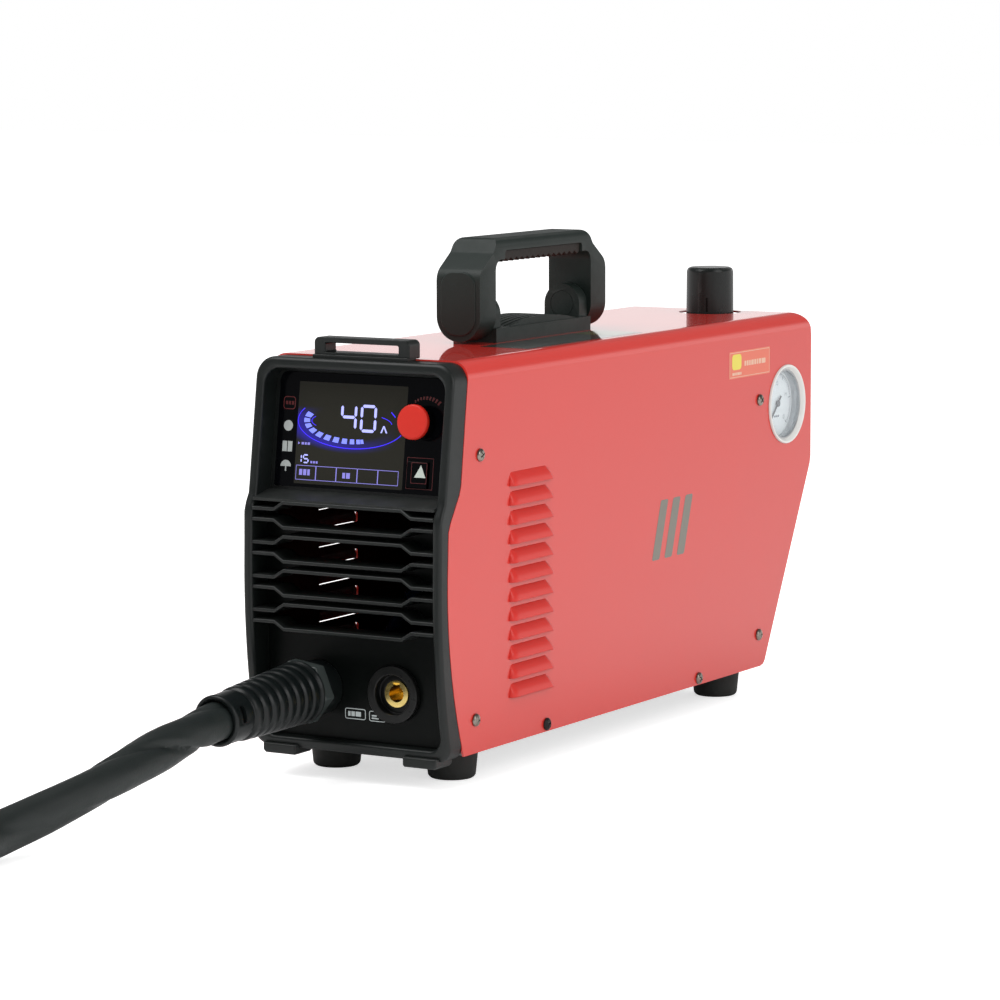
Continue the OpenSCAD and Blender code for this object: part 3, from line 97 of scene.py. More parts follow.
# The room's walls are white up to a little above the machine and darker above that, as in a studio
# with a low white sweep, so upright faces mirror white and faces that lean back mirror grey
room = bpy.data.worlds.new("white_room")
room.use_nodes = True
room.node_tree.nodes.clear()
path = add(room.node_tree, "LightPath")
sky = add(room.node_tree, "TexCoord")
aim = add(room.node_tree, "SeparateXYZ", {0: sky.outputs["Generated"]})
wall = add(room.node_tree, "MapRange", {"Value": aim.outputs[2], "From Min": 0.13, "From Max": 0.32,
                                        "To Min": 1.0, "To Max": 0.16}, interpolation_type="SMOOTHSTEP")
dim = add(room.node_tree, "MapRange", {"Value": aim.outputs[1], "From Min": -0.45, "From Max": 0.20,
                                       "To Min": 0.30, "To Max": 1.0}, interpolation_type="SMOOTHSTEP")
wall = add(room.node_tree, "Math", {0: wall.outputs[0], 1: dim.outputs[0]}, operation="MULTIPLY")
level = add(room.node_tree, "Mix", {0: path.outputs["Is Glossy Ray"], 2: 0.80, 3: wall.outputs[0]})
level = add(room.node_tree, "Math", {0: level.outputs[0], 1: path.outputs["Is Camera Ray"]},
            operation="MAXIMUM")
white = add(room.node_tree, "Background", {"Color": (1, 1, 1, 1), "Strength": level.outputs[0]})
add(room.node_tree, "OutputWorld", {"Surface": white.outputs[0]})
bpy.context.scene.world = room
soft_lamp("lamp_above", (-0.9, -0.9, 2.2), (0, 0, 0.1), 1.6, 30)
soft_lamp("lamp_right", (2.2, -0.6, 1.3), (0, -0.1, 0.1), 1.4, 14)

table = bpy.data.meshes.new("white_table")
table.from_pydata([(-9, -9, 0), (9, -9, 0), (9, 9, 0), (-9, 9, 0)], [], [(0, 1, 2, 3)])
laminate = bpy.data.materials.new("white_laminate")
laminate.use_nodes = True
laminate.node_tree.nodes.clear()
path = add(laminate.node_tree, "LightPath")
cloud = add(laminate.node_tree, "TexNoise", {"Scale": 3.0, "Detail": 2.0})
tone = add(laminate.node_tree, "MapRange", {"Value": cloud.outputs[0], "To Min": 0.86, "To Max": 0.89})
matt = add(laminate.node_tree, "BsdfDiffuse", {"Color": tone.outputs[0]})
lift = add(laminate.node_tree, "MapRange", {"Value": path.outputs["Is Camera Ray"], "To Max": 0.62})
glow = add(laminate.node_tree, "Emission", {"Strength": lift.outputs[0]})
both = add(laminate.node_tree, "AddShader", {0: matt.outputs[0], 1: glow.outputs[0]})
add(laminate.node_tree, "OutputMaterial", {"Surface": both.outputs[0]})
table.materials.append(laminate)
table = bpy.data.objects.new("white_table", table)
bpy.context.scene.collection.objects.link(table)

# ---- Torch lead ----
# A gas hose and its wires in one soft leather-cloth sleeve, four metres long. The sleeve is a little
# too wide, so it lies flattened and twisted, with long slanting folds. It leaves the boot forwards,
# sinks to the table and is wound into a flat coil of two layers.


def finish(name, colour, rough, metal=0.0, shine=0.5, coat=0.0, coat_rough=0.08, grain=0.0,
           grain_size=1.0, mottle=0.08, spread=0.06, glow=None, edge_wear_and_highlight=0.0):
    """A surface finish: a colour that varies a little, a fine bump of grain_size mm, and edges lightened as
    wear and as painted highlight.
    """
    made = bpy.data.materials.new(name)
    made.use_nodes = True
    tree = made.node_tree
    tree.nodes.clear()
    skin = add(tree, "BsdfPrincipled")
    skin.inputs["Metallic"].default_value = metal
    skin.inputs["Specular IOR Level"].default_value = shine
    skin.inputs["Coat Weight"].default_value = coat
    skin.inputs["Coat Roughness"].default_value = coat_rough
    tint = add(tree, "Group", {"Colour": (*colour, 1), "Depth": mottle, "Roughness": rough,
                               "Spread": spread}, node_tree=bpy.data.node_groups["handled_surface"])
    tree.links.new(tint.outputs["Roughness"], skin.inputs["Roughness"])
    shade = tint.outputs["Colour"]
    if edge_wear_and_highlight:
        edge = add(tree, "Group", {"Colour": shade, "Wear_and_highlight": edge_wear_and_highlight},
                   node_tree=bpy.data.node_groups["rubbed_and_highlit_edges"])
        shade = edge.outputs["Colour"]
    tree.links.new(shade, skin.inputs["Base Color"])
    if grain:
        rough_skin = add(tree, "Group", {"Size": 1000 / grain_size},
                         node_tree=bpy.data.node_groups["moulded_grain"])
        bump = add(tree, "Bump", {"Strength": 0.6, "Distance": grain * MM,
                                  "Height": rough_skin.outputs["Height"]})
        tree.links.new(bump.outputs[0], skin.inputs["Normal"])
    if glow:
        skin.inputs["Emission Color"].default_value = (*glow[:3], 1)
        skin.inputs["Emission Strength"].default_value = glow[3]
    add(tree, "OutputMaterial", {"Surface": skin.outputs[0]})
    return made


def shader_group(name, inputs, outputs):
    """An empty node group with named inputs, as (name, kind, value), and outputs, as (name, kind)."""
    tree = bpy.data.node_groups.new(name, "ShaderNodeTree")
    for label, kind, value in inputs:
        socket = tree.interface.new_socket(label, in_out="INPUT", socket_type="NodeSocket" + kind)
        socket.default_value = value
    for label, kind in outputs:
        tree.interface.new_socket(label, in_out="OUTPUT", socket_type="NodeSocket" + kind)
    return tree, tree.nodes.new("NodeGroupInput"), tree.nodes.new("NodeGroupOutput")


# Slow changes of colour and gloss, as hands and dust leave on any surface
tree, given, out = shader_group(
    "handled_surface",
    [("Colour", "Color", (0.5, 0.5, 0.5, 1)), ("Depth", "Float", 0.1), ("Roughness", "Float", 0.4),
     ("Spread", "Float", 0.05)], [("Colour", "Color"), ("Roughness", "Float")])
where = add(tree, "TexCoord")
slow = add(tree, "TexNoise", {"Vector": where.outputs["Object"], "Scale": 22.0, "Detail": 4.0})
fast = add(tree, "TexNoise", {"Vector": where.outputs["Object"], "Scale": 160.0, "Detail": 3.0})
sway = add(tree, "Math", {0: slow.outputs[0], 1: 0.5}, operation="SUBTRACT")
depth = add(tree, "Math", {0: sway.outputs[0], 1: given.outputs["Depth"]}, operation="MULTIPLY")
depth = add(tree, "Math", {0: depth.outputs[0], 1: 2.0, 2: 1.0}, operation="MULTIPLY_ADD")
shade = add(tree, "VectorMath", {0: given.outputs["Colour"], "Scale": depth.outputs[0]}, operation="SCALE")
stir = add(tree, "Math", {0: fast.outputs[0], 1: 0.5}, operation="SUBTRACT")
stir = add(tree, "Math", {0: stir.outputs[0], 1: sway.outputs[0]}, operation="ADD")
gloss = add(tree, "Math", {0: stir.outputs[0], 1: given.outputs["Spread"], 2: given.outputs["Roughness"]},
            operation="MULTIPLY_ADD")
tree.links.new(shade.outputs[0], out.inputs["Colour"])
tree.links.new(gloss.outputs[0], out.inputs["Roughness"])

# The fine pebbled skin of moulded plastic, rubber and leather cloth
tree, given, out = shader_group("moulded_grain", [("Size", "Float", 1000.0)], [("Height", "Float")])
where = add(tree, "TexCoord")
cells = add(tree, "TexVoronoi", {"Vector": where.outputs["Object"], "Scale": given.outputs["Size"]},
            feature="SMOOTH_F1")
fuzz = add(tree, "TexNoise", {"Vector": where.outputs["Object"], "Scale": given.outputs["Size"],
                              "Detail": 3.0})
height = add(tree, "Math", {0: cells.outputs["Distance"], 1: 0.7, 2: fuzz.outputs[0]},
             operation="MULTIPLY_ADD")
tree.links.new(height.outputs[0], out.inputs["Height"])

# Sharp edges made a little lighter, partly as rubbed wear and partly as a painted highlight along them
tree, given, out = shader_group("rubbed_and_highlit_edges", [("Colour", "Color", (0.5, 0.5, 0.5, 1)),
                                                 ("Wear_and_highlight", "Float", 0.3)], [("Colour", "Color")])
where = add(tree, "TexCoord")
corner = add(tree, "NewGeometry")
patch = add(tree, "TexNoise", {"Vector": where.outputs["Object"], "Scale": 90.0, "Detail": 5.0})
sharp = add(tree, "MapRange", {"Value": corner.outputs["Pointiness"], "From Min": 0.52, "From Max": 0.62})
mask = add(tree, "Math", {0: sharp.outputs[0], 1: patch.outputs[0]}, operation="MULTIPLY")
mask = add(tree, "Math", {0: mask.outputs[0], 1: given.outputs["Wear_and_highlight"]}, operation="MULTIPLY")
pale = add(tree, "Mix", {0: mask.outputs[0], 6: given.outputs["Colour"], 7: (0.3, 0.3, 0.29, 1)},
           data_type="RGBA")
tree.links.new(pale.outputs[2], out.inputs["Colour"])


def piece(name, mesh, material, body="case", sharp=34, stands_for=()):
    """Makes a mesh, or a bmesh, into a piece of the machine that rides on a body."""
    if isinstance(mesh, bmesh.types.BMesh):
        made = mesh
        mesh = bpy.data.meshes.new(name)
        made.to_mesh(mesh)
        made.free()
    mesh.materials.clear()
    mesh.materials.append(material)
    mesh.shade_smooth()
    mesh.set_sharp_from_angle(angle=math.radians(sharp))
    made = bpy.data.objects.new(name, mesh)
    bpy.context.scene.collection.objects.link(made)
    flat = made.modifiers.new("flat_faces", "WEIGHTED_NORMAL")
    flat.keep_sharp = True
    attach(made, body)
    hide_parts(*stands_for)
    return made


def through(points, step):
    """Evenly spaced points on a smooth curve through the given ones."""
    points = np.array(points, float)
    run = np.concatenate([[0], np.cumsum(np.linalg.norm(np.diff(points, axis=0), axis=1))])
    slope = np.gradient(points, run, axis=0)
    fine = []
    for a, b, p, q, u, v in zip(run, run[1:], points, points[1:], slope, slope[1:]):
        t = np.linspace(0, 1, 24, endpoint=False)[:, None]
        span = b - a
        fine.append(p * (2 * t**3 - 3 * t**2 + 1) + q * (3 * t**2 - 2 * t**3)
                    + u * span * (t**3 - 2 * t**2 + t) + v * span * (t**3 - t**2))
    fine = np.vstack([*fine, points[-1:]])
    along = np.concatenate([[0], np.cumsum(np.linalg.norm(np.diff(fine, axis=0), axis=1))])
    even = np.linspace(0, along[-1], max(2, round(along[-1] / step) + 1))
    return np.stack([np.interp(even, along, fine[:, k]) for k in range(3)], axis=1), even


def bridged(bm, rings, closed=True, flip=False):
    """Joins each ring of points to the next one by faces; a ring of one point makes a tip."""
    for low, high in zip(rings, rings[1:]):
        n = max(len(low), len(high))
        for k in range(n if closed else n - 1):
            j = k + 1
            corners = [low[k % len(low)], low[j % len(low)], high[j % len(high)], high[k % len(high)]]
            if flip:
                corners[1:] = corners[:0:-1]
            bm.faces.new([c for i, c in enumerate(corners) if c not in corners[:i]])


def tube(line, run, sides, radius):
    """A bmesh tube along a line; radius(distance, angle) gives its surface."""
    bm = bmesh.new()
    ahead = np.gradient(line, axis=0)
    ahead /= np.linalg.norm(ahead, axis=1)[:, None]
    side = Vector((1, 0, 0))
    rings = []
    for p, t, s in zip(line, ahead, run):
        t = Vector(t)
        side = (side - t * side.dot(t)).normalized()
        top = t.cross(side)
        rings.append([])
        for k in range(sides):
            a = 2 * math.pi * k / sides
            r = radius(s, a)
            rings[-1].append(bm.verts.new(Vector(p) + r * (math.cos(a) * side + math.sin(a) * top)))
    bridged(bm, rings)
    bm.faces.new(reversed(rings[0]))
    bm.faces.new(rings[-1])
    return bm


droop = math.radians(2.8)
boot_root = Vector((-24.25, -221.5, 49.5)) * MM
boot_axis = Vector((0, -math.cos(droop), -math.sin(droop)))
lead_d = 22 * MM
lead_points = [boot_root + boot_axis * s * MM for s in (12, 42, 78)]
lead_points += [Vector(p) * MM for p in (
    (-24.5, -328, 42), (-25, -352, 38), (-26.5, -380, 32), (-30, -408, 25.5), (-36, -438, 18.5),
    (-40.5, -463, 13.8), (-39, -487, 11.5), (-31.5, -510, 11))]
coil_x, coil_y, lead_low = -98.5 * MM, -657 * MM, 11 * MM
coil_r, coil_pitch = 146 * MM, 22.8 * MM
coil_in, coil_steps, coil_n = 45, 24, 111


def beside_coil(degrees, r, along, z):
    """A point of the coil at an angle, moved along its tangent in the direction of the winding."""
    a = math.radians(degrees)
    return Vector((coil_x + r * math.cos(a) + along * math.sin(a),
                   coil_y + r * math.sin(a) - along * math.cos(a), z))


lead_points += [beside_coil(coil_in, coil_r, -lead_d - 4 * MM, lead_low),
                beside_coil(coil_in, coil_r, -lead_d, lead_low)]
for i in range(coil_n + 1):
    climb = min(1, max(0, (i - coil_n / 2 + coil_steps / 4) / (coil_steps / 2)))
    lead_points.append(beside_coil(coil_in - 360 * i / coil_steps,
                                   coil_r - coil_pitch * min(i, coil_n - i) / coil_steps, 0,
                                   lead_low + coil_pitch * climb))
lead_points.append(beside_coil(180, coil_r, lead_d, lead_low + coil_pitch))
lead_points += [Vector(p) * MM for p in (
    (-244.5, -626.5, 33.8), (-239.5, -599, 31.2), (-230, -575, 27.3), (-217.5, -552, 23.1),
    (-208, -527.5, 19.2), (-203, -500.5, 16.5), (-203, -492, 16.5), (-203, -462, 16.5),
    (-203, -436, 16.5))]
lead_line, lead_run = through(lead_points, 3.2 * MM)


def sleeve_radius(s, a):
    """The flattened, twisted sleeve with one deep fold on each side and small creases."""
    twist = a - 2 * math.pi * s / 0.19 + 0.5 * math.sin(s * 31) - 0.9
    oval = 0.93 + 0.07 * math.cos(2 * twist)
    fold = 0.0
    for centre, depth in ((math.pi / 2, 0.085), (-math.pi / 2, 0.05)):
        off = (twist - centre + math.pi) % (2 * math.pi) - math.pi
        fold += depth * math.exp(-(off / 0.16) ** 2) - 0.3 * depth * math.exp(-((off - 0.42) / 0.25) ** 2)
    fold *= 1 + 1.4 * math.exp(-((s - 0.115) / 0.045) ** 2)
    crease = 0.018 * noise.noise((math.cos(a) * 2.2, math.sin(a) * 2.2, s * 55))
    return lead_d / 2 * min(1.0, oval - fold + crease)


sleeve_cloth = finish("sleeve_cloth", (0.012, 0.0165, 0.0155), rough=0.46, shine=0.42, grain=0.12,
                      grain_size=0.9, mottle=0.25, spread=0.25)
lead = piece("torch_lead_sleeve", tube(lead_line, lead_run, 30, sleeve_radius), sleeve_cloth, sharp=60,
             stands_for=("torch_lead", "torch_lead_coil", "torch_lead_end"))

# ---- Torch ----
# The hand torch at the lead's end: a moulded grip of glass-filled nylon, a red trigger on a pin in
# its pocket, a black head, a ceramic shield cup and a copper nozzle that screw onto it.
body_of = {n: b for b, nodes in frame["record"]["behaviour"]["bodies"].items() for n in nodes}


def from_cad(node, material, edge=0.5, sharp=34, steps=2):
    """The piece that the frame holds, with its edges broken by a radius of edge mm."""
    bm = bmesh.new()
    bm.from_mesh(frame["nodes"][node].data)
    bmesh.ops.remove_doubles(bm, verts=bm.verts, dist=2e-6)
    bmesh.ops.dissolve_limit(bm, angle_limit=math.radians(0.5), verts=bm.verts, edges=bm.edges)
    if edge:
        corners = [e for e in bm.edges if e.is_manifold and e.calc_face_angle(0) > math.radians(sharp)]
        bmesh.ops.bevel(bm, geom=corners, offset=edge * MM, offset_type="OFFSET", segments=steps,
                        profile=0.5, affect="EDGES", clamp_overlap=True)
    return piece(node + "_finished", bm, material, body_of[node], sharp, (node,))


torch_nylon = finish("torch_nylon", (0.016, 0.017, 0.016), rough=0.5, grain=0.08, grain_size=1.2)
trigger_red = finish("trigger_red", (0.45, 0.02, 0.015), rough=0.35, grain=0.03)
head_black = finish("head_black", (0.012, 0.012, 0.012), rough=0.55, grain=0.05)
cup_ceramic = finish("cup_ceramic", (0.62, 0.46, 0.33), rough=0.55, grain=0.05, mottle=0.2)
torch_copper = finish("torch_copper", (0.72, 0.32, 0.16), rough=0.28, metal=1.0, spread=0.2)
torch_set = [from_cad("torch_handle", torch_nylon, 0.8), from_cad("torch_trigger", trigger_red),
             from_cad("torch_head", head_black, 0.8), from_cad("shield_cup", cup_ceramic),
             from_cad("torch_nozzle", torch_copper, 0.3)]

# ---- Painted cover ----
# One sheet of 1.2 mm steel, bent to a U over the case and powder coated in gloss red. Its front edge
# follows the bezel, its rear reaches past the rear panel as a hood. The louvres are pressed out of it.
half_w = 62.5 * MM
low_z, top_z = 18 * MM, 228 * MM
rear_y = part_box("cover")[1].y
sheet_t, bend_r, hood_r = 1.2 * MM, 10 * MM, 14 * MM


def rounded_line(points, steps=8):
    """An open line whose corners, given as (a, b, radius), are rounded by arcs."""
    line = [Vector(points[0][:2])]
    for before, here, after in zip(points, points[1:], points[2:]):
        p, radius = Vector(here[:2]), here[2]
        u, v = (Vector(before[:2]) - p).normalized(), (Vector(after[:2]) - p).normalized()
        if not radius:
            line.append(p)
            continue
        half = u.angle(v) / 2
        middle = p + (u + v).normalized() * radius / math.sin(half)
        start, end = p + u * radius / math.tan(half) - middle, p + v * radius / math.tan(half) - middle
        sweep = start.angle_signed(end)
        for k in range(steps + 1):
            line.append(middle + Matrix.Rotation(-sweep * k / steps, 2) @ start)
    line.append(Vector(points[-1][:2]))
    return line


def front_line(front, crown_r, step, top):
    """Depth over height of a front edge that bulges below and steps back under the display."""
    crown = 108 * MM
    bulge = [(front + crown_r - math.sqrt(crown_r**2 - (z - crown) ** 2), z, 0)
             for z in np.linspace(12 * MM, 125 * MM, 15)]
    line = rounded_line([*bulge, *step, (*top, 0)])
    depth, height = [p[0] for p in line], [p[1] for p in line]
    return lambda z: float(np.interp(z, height, depth))


cover_front = front_line(-211 * MM, 265 * MM, [(-209.9 * MM, 141 * MM, 12 * MM),
                                               (-197.3 * MM, 160.5 * MM, 12 * MM)],
                         (-188.5 * MM, 228 * MM))
hood_line = rounded_line([(136 * MM, low_z, 0), (156.3 * MM, low_z, 7 * MM), (rear_y, 137 * MM, 0),
                          (rear_y, top_z, hood_r), (0, top_z, 0)], 12)[1:-1]


def hood_rear(z):
    """Depth of the hood's rear edge at a height."""
    return float(np.interp(z, [p[1] for p in hood_line], [p[0] for p in hood_line]))


def sheet_section(half, top, radius):
    """Points (x, z) of the bent sheet from the lower left edge over the top to the lower right."""
    side = [(half, z) for z in (*np.linspace(low_z, low_z + 6 * MM, 9)[:-1],
                                *np.linspace(low_z + 6 * MM, top - radius, 43))]
    bend = [(half - radius + radius * math.cos(a), top - radius + radius * math.sin(a))
            for a in np.linspace(0, math.pi / 2, 15)[1:]]
    flat = [(x, top) for x in np.linspace(half - radius, 0, 8)[1:]]
    right_half = side + bend + flat
    return [(-x, z) for x, z in right_half[:-1]] + right_half[::-1]


def cut(made, tools, sharp=34):
    """Takes the tools' shapes out of a piece, as a punch or a drill does, and shades it afresh."""
    for tool in tools:
        hole = made.modifiers.new("hole", "BOOLEAN")
        hole.operation = "DIFFERENCE"
        hole.solver = "EXACT"
        hole.object = tool
    bpy.context.view_layer.update()
    mesh = bpy.data.meshes.new_from_object(made.evaluated_get(bpy.context.evaluated_depsgraph_get()))
    made.modifiers.clear()
    made.data = mesh
    mesh.shade_smooth()
    mesh.set_sharp_from_angle(angle=math.radians(sharp))
    for tool in tools:
        bpy.data.objects.remove(tool)


def punch(outline, low, high, place):
    """A cutting tool: an outline that runs from low to high along the place's Z."""
    bm = bmesh.new()
    lower = [bm.verts.new(place @ Vector((x, y, low))) for x, y in outline]
    upper = [bm.verts.new(place @ Vector((x, y, high))) for x, y in outline]
    bm.faces.new(reversed(lower))
    bm.faces.new(upper)
    for i in range(len(outline)):
        j = (i + 1) % len(outline)
        bm.faces.new((lower[i], lower[j], upper[j], upper[i]))
    bmesh.ops.recalc_face_normals(bm, faces=bm.faces)
    mesh = bpy.data.meshes.new("punch")
    bm.to_mesh(mesh)
    bm.free()
    made = bpy.data.objects.new("punch", mesh)
    bpy.context.scene.collection.objects.link(made)
    return made


def circle(x, y, r, n=64):
    """A round outline of n points."""
    return [(x + r * math.cos(2 * math.pi * k / n), y + r * math.sin(2 * math.pi * k / n)) for k in range(n)]


def rounded_rectangle(x0, y0, x1, y1, low_r, high_r, n=8):
    """A rectangle, anticlockwise from its lower left corner, with rounded lower and upper corners."""
    line = []
    for x, y, r, start in ((x0 + low_r, y0 + low_r, low_r, 180), (x1 - low_r, y0 + low_r, low_r, 270),
                           (x1 - high_r, y1 - high_r, high_r, 0), (x0 + high_r, y1 - high_r, high_r, 90)):
        for k in range(n + 1):
            a = math.radians(start + 90 * k / n)
            line.append((x + r * math.cos(a), y + r * math.sin(a)))
    return line


def card(x0, y0, x1, y1, low_r, high_r=None, n=8):
    """A rounded rectangle from sizes in mm."""
    high_r = low_r if high_r is None else high_r
    return rounded_rectangle(*(v * MM for v in (x0, y0, x1, y1, low_r, high_r)), n)


on_right = Matrix(((0, 0, 1, 0), (1, 0, 0, 0), (0, 1, 0, 0), (0, 0, 0, 1)))   # X to +Y, Y to +Z, Z to +X
on_front = Matrix.Rotation(math.pi / 2, 4, "X")                               # Y to +Z, Z to -Y
reg_x, reg_y, reg_z = 10 * MM, 185 * MM, 174 * MM
gauge_hole_r, knob_hole_r = 22.5 * MM, 19 * MM
louvre_n, louvre_l, louvre_h, louvre_out = 12, 46 * MM, 7.9 * MM, 3.2 * MM
louvre_y, louvre_z, louvre_pitch = -124.5 * MM, 42.6 * MM, 10.46 * MM

bm = bmesh.new()
rows = []
for x, z in sheet_section(half_w, top_z, bend_r):
    ends = cover_front(z), hood_rear(z)
    rows.append([bm.verts.new((x, ends[0] + (ends[1] - ends[0]) * k / 24, z)) for k in range(25)])
bridged(bm, rows, closed=False, flip=True)
bmesh.ops.recalc_face_normals(bm, faces=bm.faces)

red_paint = finish("red_paint", (0.68, 0.036, 0.026), rough=0.40, shine=0.25, coat=1.0, coat_rough=0.03,
                   grain=0.012, grain_size=1.6, mottle=0.02, spread=0.04)
cover = piece("painted_cover", bm, red_paint, stands_for=("cover",))
# Inside, the red paint is darkened to near black as painted shade, so the case looks dark through the grille.
inside_painted_shade = finish("inside_painted_shade", (0.030, 0.004, 0.0035), rough=0.7, shine=0.12, mottle=0.1)
cover.data.materials.append(inside_painted_shade)
wall = cover.modifiers.new("sheet", "SOLIDIFY")
wall.thickness = sheet_t
wall.offset = -1
wall.material_offset = 1
holes = [punch(circle(reg_y, reg_z, gauge_hole_r), 50 * MM, 70 * MM, on_right),
         punch(circle(reg_x, reg_y, knob_hole_r), 220 * MM, 235 * MM, Matrix())]
for i in range(louvre_n):
    z = louvre_z + i * louvre_pitch
    holes.append(punch(rounded_rectangle(louvre_y - louvre_l / 2 + 3 * MM, z + 0.1 * MM,
                                         louvre_y + louvre_l / 2 - 3 * MM, z + louvre_h - 2 * MM,
                                         0.3 * MM, 1.5 * MM, 3), -80 * MM, 80 * MM, on_right))
cut(cover, holes, 30)
flat = cover.modifiers.new("flat_faces", "WEIGHTED_NORMAL")
flat.keep_sharp = True
flat.weight = 90

# Pressed louvres: scoops with a sharp lip below that run out into the sheet above and at both ends


def louvre_row(up):
    """Points (x, y) across a louvre from its front end to its rear, at a share of its height."""
    front = louvre_y - louvre_l / 2 + 1.2 * MM * up
    rear = louvre_y + louvre_l / 2 - 6.5 * MM * up**1.2
    row = []
    for a in np.linspace(-math.pi / 2, math.pi / 2, 41):
        y = front + (rear - front) * (0.5 + 0.5 * math.sin(a))
        front_end = 1 - max(0, 1 - (y - front) / (5.5 * MM)) ** 2
        rear_end = 1 - max(0, 1 - (rear - y) / (3.5 * MM)) ** 2
        out = louvre_out * (1 - up**2) ** 1.15 * math.sqrt(max(0, min(front_end, rear_end)))
        row.append((half_w - 0.15 * MM + out, y))
    return row


bm = bmesh.new()
for side in (-1, 1):
    for i in range(louvre_n):
        grid = [[bm.verts.new((side * x, y, louvre_z + i * louvre_pitch + up * louvre_h))
                 for x, y in louvre_row(up)] for up in np.linspace(0, 1, 13)]
        bridged(bm, grid[::side], closed=False)
# The louvres carry the cover's red paint made deeper and with a thinner coat, as painted shade on their
# faces.
louvre_red_painted_shade = finish("louvre_red_painted_shade", (0.66, 0.026, 0.018), rough=0.40, shine=0.25, coat=0.35,
                     coat_rough=0.06, grain=0.012, grain_size=1.6, mottle=0.02, spread=0.04)
louvres = piece("cover_louvres", bm, louvre_red_painted_shade, sharp=50)
lip = louvres.modifiers.new("lip", "SOLIDIFY")
lip.thickness = 1.0 * MM
lip.offset = -1
lip.material_offset = 1
lip.material_offset_rim = 0
# The scoops' inner faces are painted near black as painted shade inside the case.
louvre_inside_painted_shade = finish("louvre_inside_painted_shade", (0.008, 0.004, 0.004), rough=0.8, shine=0.1, mottle=0.2)
louvres.data.materials.append(louvre_inside_painted_shade)

# ---- Front bezel ----
# Injection-moulded black plastic: a frame that closes the case's front, with a deep opening for the
# connectors and the grille, a ledge, and a shallower opening round the display.
bezel_front = front_line(-218.5 * MM, 430 * MM, [(-217.8 * MM, 146.5 * MM, 5 * MM),
                                                 (-213.3 * MM, 154 * MM, 5 * MM)],
                         (-203.1 * MM, 227.2 * MM))
bezel_black = finish("bezel_black", (0.0072, 0.0096, 0.0090), rough=0.40, shine=0.42, grain=0.035,
                     grain_size=0.9, mottle=0.12, spread=0.12, edge_wear_and_highlight=0.10)
# The connector plate is the frame's black moulding made darker and duller, as painted shade in its deep
# recess.
plate_black_painted_shade = finish("plate_black_painted_shade", (0.0026, 0.0036, 0.0032), rough=0.34, shine=0.14, grain=0.02,
                     grain_size=0.9, mottle=0.2, spread=0.1)
plate_y, bezel_rear = -202 * MM, -191 * MM
mouth_hw, mouth_low, mouth_top = 56.8 * MM, 22 * MM, 221 * MM
grille_top = 150.6 * MM

outer = card(-62.3, 16, 62.3, 227.2, 9, 11, 12)
inner = rounded_rectangle(-mouth_hw, mouth_low, mouth_hw, mouth_top, 8 * MM, 9 * MM, 12)


def filled(ring, n):
    """The ring with n points added on each straight side."""
    made = []
    for a, b in zip(ring, ring[1:] + ring[:1]):
        made.append(a)
        if math.dist(a, b) > 20 * MM:
            made += [tuple(np.array(a) + (np.array(b) - np.array(a)) * k / n) for k in range(1, n)]
    return made


outer, inner = filled(outer, 40), filled(inner, 40)
rim, wall_w = 2.0 * MM, 5.6 * MM
quarter = np.linspace(0, math.pi / 2, 7)
section = [(0.0, None), (0.0, 4.5 * MM)]
section += [(rim * (1 - math.cos(a)), rim * (1 - math.sin(a))) for a in quarter]
section += [(wall_w / 2, 0.0)]
section += [(wall_w - rim * (1 - math.sin(a)), rim * (1 - math.cos(a))) for a in quarter]
section += [(wall_w, 5 * MM), (wall_w, 26 * MM)]
bm = bmesh.new()
loops = []
for across, depth in section:
    loop = []
    for p, q in zip(outer, inner):
        share = across / wall_w
        x, z = p[0] + (q[0] - p[0]) * share, p[1] + (q[1] - p[1]) * share
        y = cover_front(z) - 0.3 * MM if depth is None else bezel_front(z) + depth
        loop.append(bm.verts.new((x, min(y, bezel_rear) if depth else y, z)))
    loops.append(loop)
bridged(bm, loops, flip=True)
bmesh.ops.recalc_face_normals(bm, faces=bm.faces)
piece("bezel_frame", bm, bezel_black, sharp=60, stands_for=("front_bezel",))


def stamped(name, outlines, low, high, place, material, body="case", *, edge, steps=3, stands_for=()):
    """A flat piece between two heights of a place, with holes, and with both rims rounded by edge mm."""
    bm = bmesh.new()
    for line in outlines:
        ring = [bm.verts.new((x, y, low)) for x, y in line]
        for a, b in zip(ring, ring[1:] + ring[:1]):
            bm.edges.new((a, b))
    bmesh.ops.triangle_fill(bm, use_beauty=True, edges=bm.edges[:])
    bmesh.ops.dissolve_limit(bm, angle_limit=math.radians(1), verts=bm.verts, edges=bm.edges)
    grown = bmesh.ops.extrude_face_region(bm, geom=bm.faces[:])
    risen = [v for v in grown["geom"] if isinstance(v, bmesh.types.BMVert)]
    bmesh.ops.translate(bm, verts=risen, vec=(0, 0, high - low))
    bmesh.ops.recalc_face_normals(bm, faces=bm.faces)
    if edge:
        rims = [e for e in bm.edges if e.is_manifold and e.calc_face_angle(0) > math.radians(60)
                and abs(e.verts[0].co.z - e.verts[1].co.z) < 1e-7]
        bmesh.ops.bevel(bm, geom=rims, offset=edge * MM, offset_type="OFFSET", segments=steps,
                        profile=0.5, affect="EDGES", clamp_overlap=False)
    bm.transform(place)
    piece(name, bm, material, body, stands_for=stands_for)


# Connector plate with the four slots, and the ribs that stand round each slot
slot_w, slot_h, slot_end, slot_taper = 37.2 * MM, 5.7 * MM, 1.95 * MM, 6 * MM
slot_z = [88.4 * MM + 18.35 * MM * i for i in range(4)]
port_x, port_z = 24.25 * MM, 49.5 * MM


def slot_side(z, sign, grow, reach):
    """Upper or lower edge of a grille slot, from left to right."""
    e, h = z + sign * (slot_end + grow), z + sign * (slot_h + grow)
    return [(-reach, e), (-slot_w - slot_taper, e), (-slot_w, h), (slot_w, h), (slot_w + slot_taper, e),
            (reach, e)]


